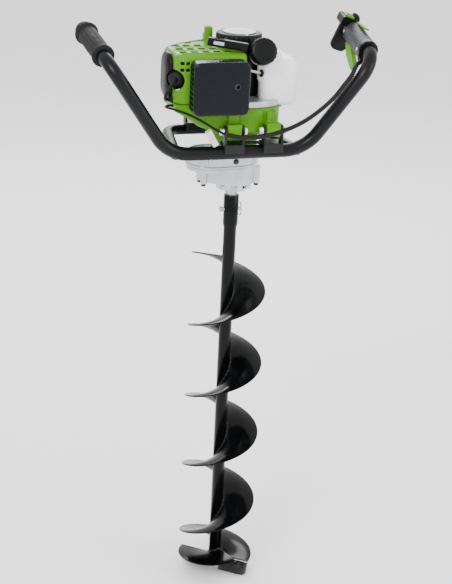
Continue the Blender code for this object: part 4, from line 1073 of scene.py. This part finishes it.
def build_cylinder_cover():
    levels = [(cover_outline(3), COVER_BOTTOM), (cover_outline(0.8), COVER_BOTTOM + 1.4),
              (cover_outline(0), COVER_BOTTOM + 4)]
    levels += [(cover_outline(inset), COVER_TOP - 11 + rise) for inset, rise in quarter_round(14, 11)]
    shell = solid("cylinder_hood", hull(levels))
    room = [(cover_outline(3), COVER_BOTTOM - 20), (cover_outline(3), COVER_TOP - 14)]
    room += [(cover_outline(3 + inset), COVER_TOP - 14 + rise) for inset, rise in quarter_round(12, 11)]
    carve(shell, hull(room), block((-40, -75, COVER_BOTTOM - 20), (20, 61, COVER_TOP - 12), 3))
    ridge = smooth_path([(-132, -40, 1092.5), (-122, 4, 1094), (-84, 30, 1094.5), (-52, 40, 1094.5)], 2)
    carve(shell, joined([bar(8, 1090, 1124, (-52, 25, 0), edge=1.5),
                         bar(9.4, 1090, 1096, (-52, 25, 0), edge=1.5),
                         block((-56, 30, 1092), (-48, 50, 1108), 1.2),
                         pillow((-128, -72, 1092), (-38, -68.6, 1095.6), 1.4, 3),
                         pillow((-130, -45.6, 1092), (-46, -42.4, 1095.6), 1.4, 3),
                         pillow((-128, -17.6, 1092), (-54, -14.4, 1095.6), 1.4, 3)]),
          operation="UNION")
    carve(shell, sweep(ridge, 1.8, 12), operation="UNION")
    slots = []
    for row, columns in ((-58, 5), (-30, 4), (-2, 3), (24, 2)):
        for column in range(columns):
            x = -122 + column * 21 + (8 if row == 24 else 0)
            slots.append(block((x - 7, row - 8, COVER_TOP - 12), (x + 7, row + 8, 1102), 2.5, 4))
    for z in (1066, 1078):
        for x in (-129, -119):
            slots.append(block((x - 3.2, -95, z - 3), (x + 3.2, -70, z + 3), 1.2, 3))
    carve(shell, joined(slots))
    carve(shell, bar(44.5, 1060, 1200, steps=96), bar(18.5, 25, 90, PLUG_SEAT, PLUG_DIR, 0.1),
          bar(14, 60, 100, (-75, 0, 1040), (0, -1, 0), 0.1),
          bar(12, 48, 100, (CARB_X, 0, CYLINDER_Z), (0, 1, 0), 0.1),
          bar(5, 48, 100, (-35, 0, 1058), (0, 1, 0), 0.1),
          bar(4.7, 36, 100, (-88, 0, 1061), (0, 1, 0), 0.1),
          bar(3.2, 1100, 1140, (-52, 25, 0), edge=0.1, steps=24))
    cast(shell, 1.0, 3, 0.35)
    add(shell, POWER_HEAD, LIME, "cylinder_cover", sharp=0)


def build_end_dome():
    """Black crowned end of the cover, notched round the plug boot."""
    levels = [(rounded(58, 86, 22, 14), 141.4)]
    for inset, rise in quarter_round(20, 9, 12):
        levels.append((rounded(58 - 2 * inset, 86 - 2 * inset, 22 - 0.7 * inset, 14), 143.5 + rise))
    dome = solid("end_dome", placed(hull(levels), (0, -31, 1047.5), (-1, 0, 0)))
    carve(dome, bar(18.2, 20, 90, PLUG_SEAT, PLUG_DIR, 0.1))
    cast(dome, 0.8, 3, 0.5)
    add(dome, POWER_HEAD, BLACK_PLASTIC, "cover_end_cap", sharp=0)


def build_muffler_guard():
    """Moulded guard: flat face, bevelled rim, louvres down its left side and an outlet."""
    outline = rounded(105, 98, 12, 12)
    guard = solid("muffler_guard", prism(outline, 84.4, 119.6, GUARD_MIDDLE, (0, -1, 0)))
    round_edges(guard, 5, 6, 50)
    tools = [prism(rounded(99, 92, 9, 8), 60, 116.4, GUARD_MIDDLE, (0, -1, 0))]
    for index in range(9):
        z = 1002 + index * 9
        tools.append(block((-125, -112, z - 2.2), (-110, -90, z + 2.2), 1.4, 3))
    carve(guard, *tools)
    carve(guard, bar(3.6, 108, 130, OUTLET, (0, -1, 0), 0.1, 32))
    round_edges(guard, 0.5, 2, 40)
    add(guard, POWER_HEAD, GUARD_PLASTIC, "muffler_cover", sharp=40)
    outlet = [(3.6, -3.0), (5.2, -3.0), (5.6, 0.2), (4.9, 0.7), (3.9, 0.5)]
    add(solid("outlet_ring", revolve(outlet, (OUTLET[0], -119.4, OUTLET[2]), (0, -1, 0), 40)), POWER_HEAD,
        BLACK_STEEL)


def build_ignition():
    boot = [(6.2, 30), (13.4, 30), (14.6, 31.5), (16, 34.5), (16.5, 37), (15.6, 39.5), (16.4, 42),
            (16.5, 52), (15.6, 56), (13.4, 60), (9.5, 63), (6, 64.2), (0, 64.2), (0, 43), (6.2, 43)]
    add(solid("plug_boot_rubber", revolve(boot, PLUG_SEAT, PLUG_DIR, 64)), POWER_HEAD, SEAL_RUBBER,
        "plug_boot", sharp=50)
    grips = []
    for index in range(3):
        centre = PLUG_SEAT + PLUG_DIR * (44.5 + index * 4.2)
        grips.append(revolve([(15.6, -0.9), (16.9, -0.6), (17.2, 0), (16.9, 0.6), (15.6, 0.9)],
                             centre, PLUG_DIR, 64))
    nose = PLUG_SEAT + PLUG_DIR * 62
    grips.append(revolve([(0, 0), (6.4, 0), (5.4, 3), (3.9, 8), (3.1, 8.6), (0, 8.6)], nose,
                         PLUG_DIR, 40))
    add(solid("boot_grips", *grips), POWER_HEAD, SEAL_RUBBER, sharp=50)
    repaint(CERAMIC, "spark_plug")
    gland = [(0, -1.5), (7.2, -1.5), (7.0, 1.2), (5.2, 2.2), (4.4, 6.2), (3.2, 7), (0, 7)]
    add(solid("lead_gland", revolve(gland, (-141.0, -57.5, 1008), (-1, 0, 0), 40)), POWER_HEAD,
        SEAL_RUBBER, sharp=50)


def build_starter():
    top, wall, under = STARTER_TOP, STARTER_R - 3, STARTER_TOP - 3.2
    profile = [(0, top), (30.5, top), (31.6, top - 0.8), (33, top - 0.8), (34.4, top), (38.4, top),
               (40.6, top - 0.8), (42.2, top - 2.6), (STARTER_R, top - 5), (STARTER_R, 1088.6),
               (wall, 1088.6), (wall, under), (0, under)]

    def ribbed(turn, radius, height):
        if radius < STARTER_R - 0.1:
            return radius
        return radius - 0.9 * max(0.0, math.cos(30 * turn)) ** 2
    housing = solid("recoil_housing", revolve(profile, steps=240, reach=ribbed))
    rope_start = Vector((PULL_DIR.y, -PULL_DIR.x, 0)) * REEL_LINE + Vector((0, 0, PULL_Z))
    carve(housing, bar(2.6, 10, 60, rope_start, PULL_DIR, 0.1, 24))
    carve(housing, bar(5, 1100, 1116, edge=0.3), operation="UNION")
    add(housing, POWER_HEAD, BLACK_PLASTIC, "starter_housing", sharp=30)
    guide = revolve([(2.7, 0), (5.6, 0), (5.6, 1.2), (4.4, 2.4), (2.9, 2.0)],
                    rope_start + PULL_DIR * 31.0, PULL_DIR, 40)
    add(solid("rope_guide", guide), POWER_HEAD, BLACK_STEEL)
    disc = [(0, 1118.3), (30.4, 1118.3), (31, 1119), (30.6, 1120.2), (29, 1120.8), (27.2, 1120.8),
            (26.4, 1120.1), (25.4, 1119.9), (9, 1120.3), (8.2, 1120.9), (0, 1121.1)]
    add(solid("recoil_disc", revolve(disc, steps=96)), POWER_HEAD, DISC_PLASTIC, "starter_cap")
    for index in range(3):
        x, y = polar(36.5, math.radians(35 + 120 * index))
        socket_screw(f"recoil_screw_{index + 1}", (x, y, 1117.3), (0, 0, 1), 2.8, 2.2, POWER_HEAD,
                     ZINC)
    repaint(BLACK_PLASTIC, "starter_reel")

    bar_shape = solid("pull_grip", prism(rounded(78, 15, 6, 8), -7.5, 7.5))
    round_edges(bar_shape, 3, 4)
    carve(bar_shape, block((-30, -3.5, -20), (-8, 3.5, 20), 2))
    across = Vector((-PULL_DIR.y, PULL_DIR.x, 0))
    along = across * math.cos(HANDLE_TILT) - Vector((0, 0, 1)) * math.sin(HANDLE_TILT)
    up = PULL_DIR.cross(along) * -1
    pose = Matrix((along, -PULL_DIR, up)).transposed().to_4x4()
    pose.translation = (rope_start + PULL_DIR * PULL_REACH + along * -5) * MM
    bar_shape.data.transform(pose)
    insert = solid("pull_window", pillow((-29, -8.1, -3.2), (-9, -6.6, 3.2), 1.2, 4))
    insert.data.transform(pose)
    add(insert, "pull_handle", DISC_PLASTIC)
    cast(bar_shape, 0.6, 3, 0.6)
    add(bar_shape, "pull_handle", BLACK_PLASTIC, "starter_handle", sharp=0)
    path = [rope_start + PULL_DIR * d for d in [i * 0.5 - 14 for i in range(159)]]

    def braid(distance, turn):
        return 1 + 0.09 * math.sin(4 * turn + distance * 1.7) * math.sin(4 * turn - distance * 1.7)
    add(solid("pull_rope", sweep(path, 1.6, 24, braid)), "pull_handle", CREAM_PLASTIC, sharp=0)


def build_fuel():
    tank = solid("fuel_tank_shell", pillow((30, -55, 987.4), (102, 45, 1076), 13),
                 pillow((26, -50, 1030), (72, 30, 1090), 11),
                 bar(17, -62, -8, CAP_FRONT, CAP_DIR, 0.6),
                 pillow((29.4, -12, 987.2), (103.2, -9.4, 1076.6), 1.2, 3))
    carve(tank, bar(45.5, 960, 1200, steps=96))
    cast(tank, 1.1, 4, 0.45)
    add(tank, POWER_HEAD, TANK, "fuel_tank", sharp=0)
    neck = [(0, -24), (18.6, -24), (19.6, -27), (19.6, -33), (18.4, -38), (17.2, -42), (0, -42)]
    add(solid("filler_collar", revolve(neck[::-1], CAP_FRONT, CAP_DIR, 64)), POWER_HEAD,
        BLACK_PLASTIC)
    profile = [(17.5, -22), (23.4, -22), (24.4, -21), (25, -19), (25, -6), (24.2, -3.4),
               (22.2, -1.4), (19, -0.5), (12, 0.0), (0, 0.3), (0, -7.5), (17.5, -7.5)]

    def knurled(turn, radius, height):
        if radius < 23.0:
            return radius
        return radius - 0.9 * max(0.0, math.cos(18 * turn)) ** 3
    add(solid("filler_cap", revolve(profile, CAP_FRONT, CAP_DIR, 216, knurled)), "tank_cap",
        BLACK_PLASTIC, "fuel_cap", sharp=40)
    grommet = revolve([(2.5, -2), (6.8, -2), (7.4, 0.4), (6.2, 1.8), (3.4, 2.2), (2.5, 1.4)],
                      (30.6, -48, 1050), (-1, -0.2, 0.1), 40)
    add(solid("tank_grommet", grommet), POWER_HEAD, SEAL_RUBBER)


def build_intake():
    middle = (FILTER_X, 0, FILTER_Z)
    box = solid("filter_box", prism(rounded(76, 76, 12, 10), 109.6, 145.6, middle, (0, 1, 0)))
    round_edges(box, 5, 5, 50)
    slots = []
    for index in range(7):
        z = FILTER_Z - 24 + index * 7
        slots.append(block((FILTER_X - 22, 141, z - 1.4), (FILTER_X + 22, 150, z + 1.4), 1.2, 3))
    carve(box, joined(slots), prism(rounded(70, 70, 9, 8), 100, 141, middle, (0, 1, 0)))
    round_edges(box, 0.5, 2, 40)
    add(box, POWER_HEAD, BLACK_PLASTIC, "air_filter_cover", sharp=40)

    def lobed(turn, radius, height):
        return radius - (0.9 * max(0.0, math.cos(6 * turn)) if radius > 6 else 0.0)
    knob = revolve([(0, -3), (7.6, -3), (8, -1), (7.6, 0.2), (5, 0.4), (0, 0.4)],
                   (FILTER_X, 145.4, FILTER_Z + 27), (0, 1, 0), 72, lobed)
    add(solid("filter_knob", knob), POWER_HEAD, BLACK_PLASTIC)
    cast_node("carburettor_body", "carburettor", 0.9, 0.5, DARK_CAST)
    repaint(ZINC, "throttle_lever")
    repaint(BLACK_PLASTIC, "choke_lever")
    bulb = [(0, 1009.6), (3, 1009.9), (6, 1011.2), (8.2, 1013.4), (9, 1016), (9, 1020.4), (0, 1020.4)]
    add(solid("primer_dome", revolve(bulb, (CARB_X, 93, 0), steps=48)), "primer", TANK,
        "primer_bulb")


# ---------------------------------------------------------------- throttle handle

def to_handle(item):
    """Move an object built in the handle's own axes into place."""
    pose = facing(RIGHT_HANDLE_DIR, HANDLE_SPIN)
    pose.translation = handle_point(1, 0) * MM
    item.data.transform(pose)
    return item


def side_plate(name, outline, half_width):
    """Plate drawn as (along, up) points in the handle's own axes."""
    item = solid(name, prism([(up, along) for along, up in outline], -half_width, half_width))
    item.data.transform(Matrix(((0, 0, 1, 0), (1, 0, 0, 0), (0, 1, 0, 0), (0, 0, 0, 1))))
    return item


def tube_bore():
    """Space in the handle's own axes for the handlebar's end."""
    return bar(TUBE_R + 0.3, -10, HANDLE_REACH + 0.3, edge=0.1)


def switch_room():
    """Well that the stop switch slides in."""
    return block((6.5, 16, 153), (27.5, 40, 177), 1)


def handle_cover(name, shape, rounding=0.0):
    """Black moulding on the throttle handle, clear of the tube and the switch."""
    cover = solid(name, shape)
    if rounding:
        round_edges(cover, rounding, 5, 40)
    carve(cover, tube_bore(), switch_room())
    add(to_handle(cover), POWER_HEAD, BLACK_PLASTIC)


def build_throttle_handle():
    body = solid("handle_body", prism(wrapped([(0, 0, 17.5), (1, -13, 11.5)]), 46, 168))
    round_edges(body, 2, 3)
    carve(body, tube_bore(), block((-5.8, -60, 60), (5.8, -14.5, 150), 1))
    grooves = []
    for side in (-1, 1):
        for index in range(9):
            along = 70 + index * 7.5
            grooves.append(pillow((side * 18.0 - 1.6, -12, along - 1.2),
                                  (side * 18.0 + 1.6, 8, along + 1.2), 1.0, 3))
    carve(body, joined(grooves))
    cast(body, 0.7, 3, 0.5)
    add(to_handle(body), POWER_HEAD, GREY_PLASTIC, "throttle_handle", sharp=0)

    handle_cover("switch_pod", block((3, 2, 148), (31, 20, 180), 4, 6))
    palm_guard = [(x + 7, y - 12) for x, y in rounded(34, 80, 12, 10)]
    handle_cover("hand_guard", prism(palm_guard, 163, 174), 3.4)
    handle_cover("handle_end", prism(wrapped([(0, 0, 17), (14, 8, 13)]), 174, 181.6), 3)
    collar = solid("handle_collar", prism(wrapped([(0, 0, 18.8), (1, -13, 12.8)]), 45.2, 57))
    round_edges(collar, 1.6, 4, 40)
    carve(collar, bar(TUBE_R + 0.3, -10, 100, edge=0.1), block((-5.6, -60, 55), (5.6, -14.5, 90), 1))
    add(to_handle(collar), POWER_HEAD, BLACK_PLASTIC)

    for name, node, outline, half, body_name in (
            ("trigger_blade", "throttle_trigger",
             [(146, -18), (147, -28), (120, -42), (84, -50), (68, -52), (64, -46), (78, -38),
              (108, -27), (132, -17)], 5.1, "trigger"),
            ("lockout_blade", "lockout_lever",
             [(140, 18.3), (140, 20.3), (118, 23.5), (96, 25.9), (93, 24.8), (96, 22.5),
              (118, 19.3), (132, 18.3)], 4.4, "lockout")):
        plate = side_plate(name, outline, half)
        cast(plate, 0.5, 4, 0.5)
        add(to_handle(plate), body_name, LIME_TOUCH, node, sharp=0)
    switch = solid("stop_slider", block((7.3, 16.5, 153.9), (26.7, 23.2, 169.9), 2.5),
                   *[block((10, 22.6, 156.4 + i * 3.2), (24, 24.0, 157.8 + i * 3.2), 0.5, 3)
                     for i in range(4)])
    cast(switch, 0.45, 2, 0.6)
    add(to_handle(switch), "switch", LIME_TOUCH, "stop_switch", sharp=0)
    turn = facing(RIGHT_HANDLE_DIR, HANDLE_SPIN)
    for index, (side, up, along) in enumerate(((-1, -8, 62), (-1, -8, 154), (-1, 8, 158),
                                               (1, -8, 62), (1, -8, 154))):
        spot = handle_point(1, 0) + turn @ Vector((side * 15.2, up, along))
        socket_screw(f"handle_screw_{index + 1}", spot, turn.to_3x3() @ Vector((side, 0, 0)), 3.0,
                     1.6, POWER_HEAD, ZINC)


def build_connector():
    way = (0.5, 0, -0.87)
    housing = solid("lead_connector", prism(rounded(13, 11, 2.5, 6), -15.8, 15.8, (-77, -107, 946), way))
    round_edges(housing, 1, 3, 40)
    carve(housing, block((-80, -114.5, 944), (-74, -111.6, 950), 0.8))
    add(housing, POWER_HEAD, CREAM_PLASTIC, "wire_connector")


build_cords()
build_bit()
build_gearbox()
build_frame()
build_grip()
build_fan_housing()
build_cylinder_cover()
build_end_dome()
build_muffler_guard()
build_ignition()
build_starter()
build_fuel()
build_intake()
build_throttle_handle()
build_connector()
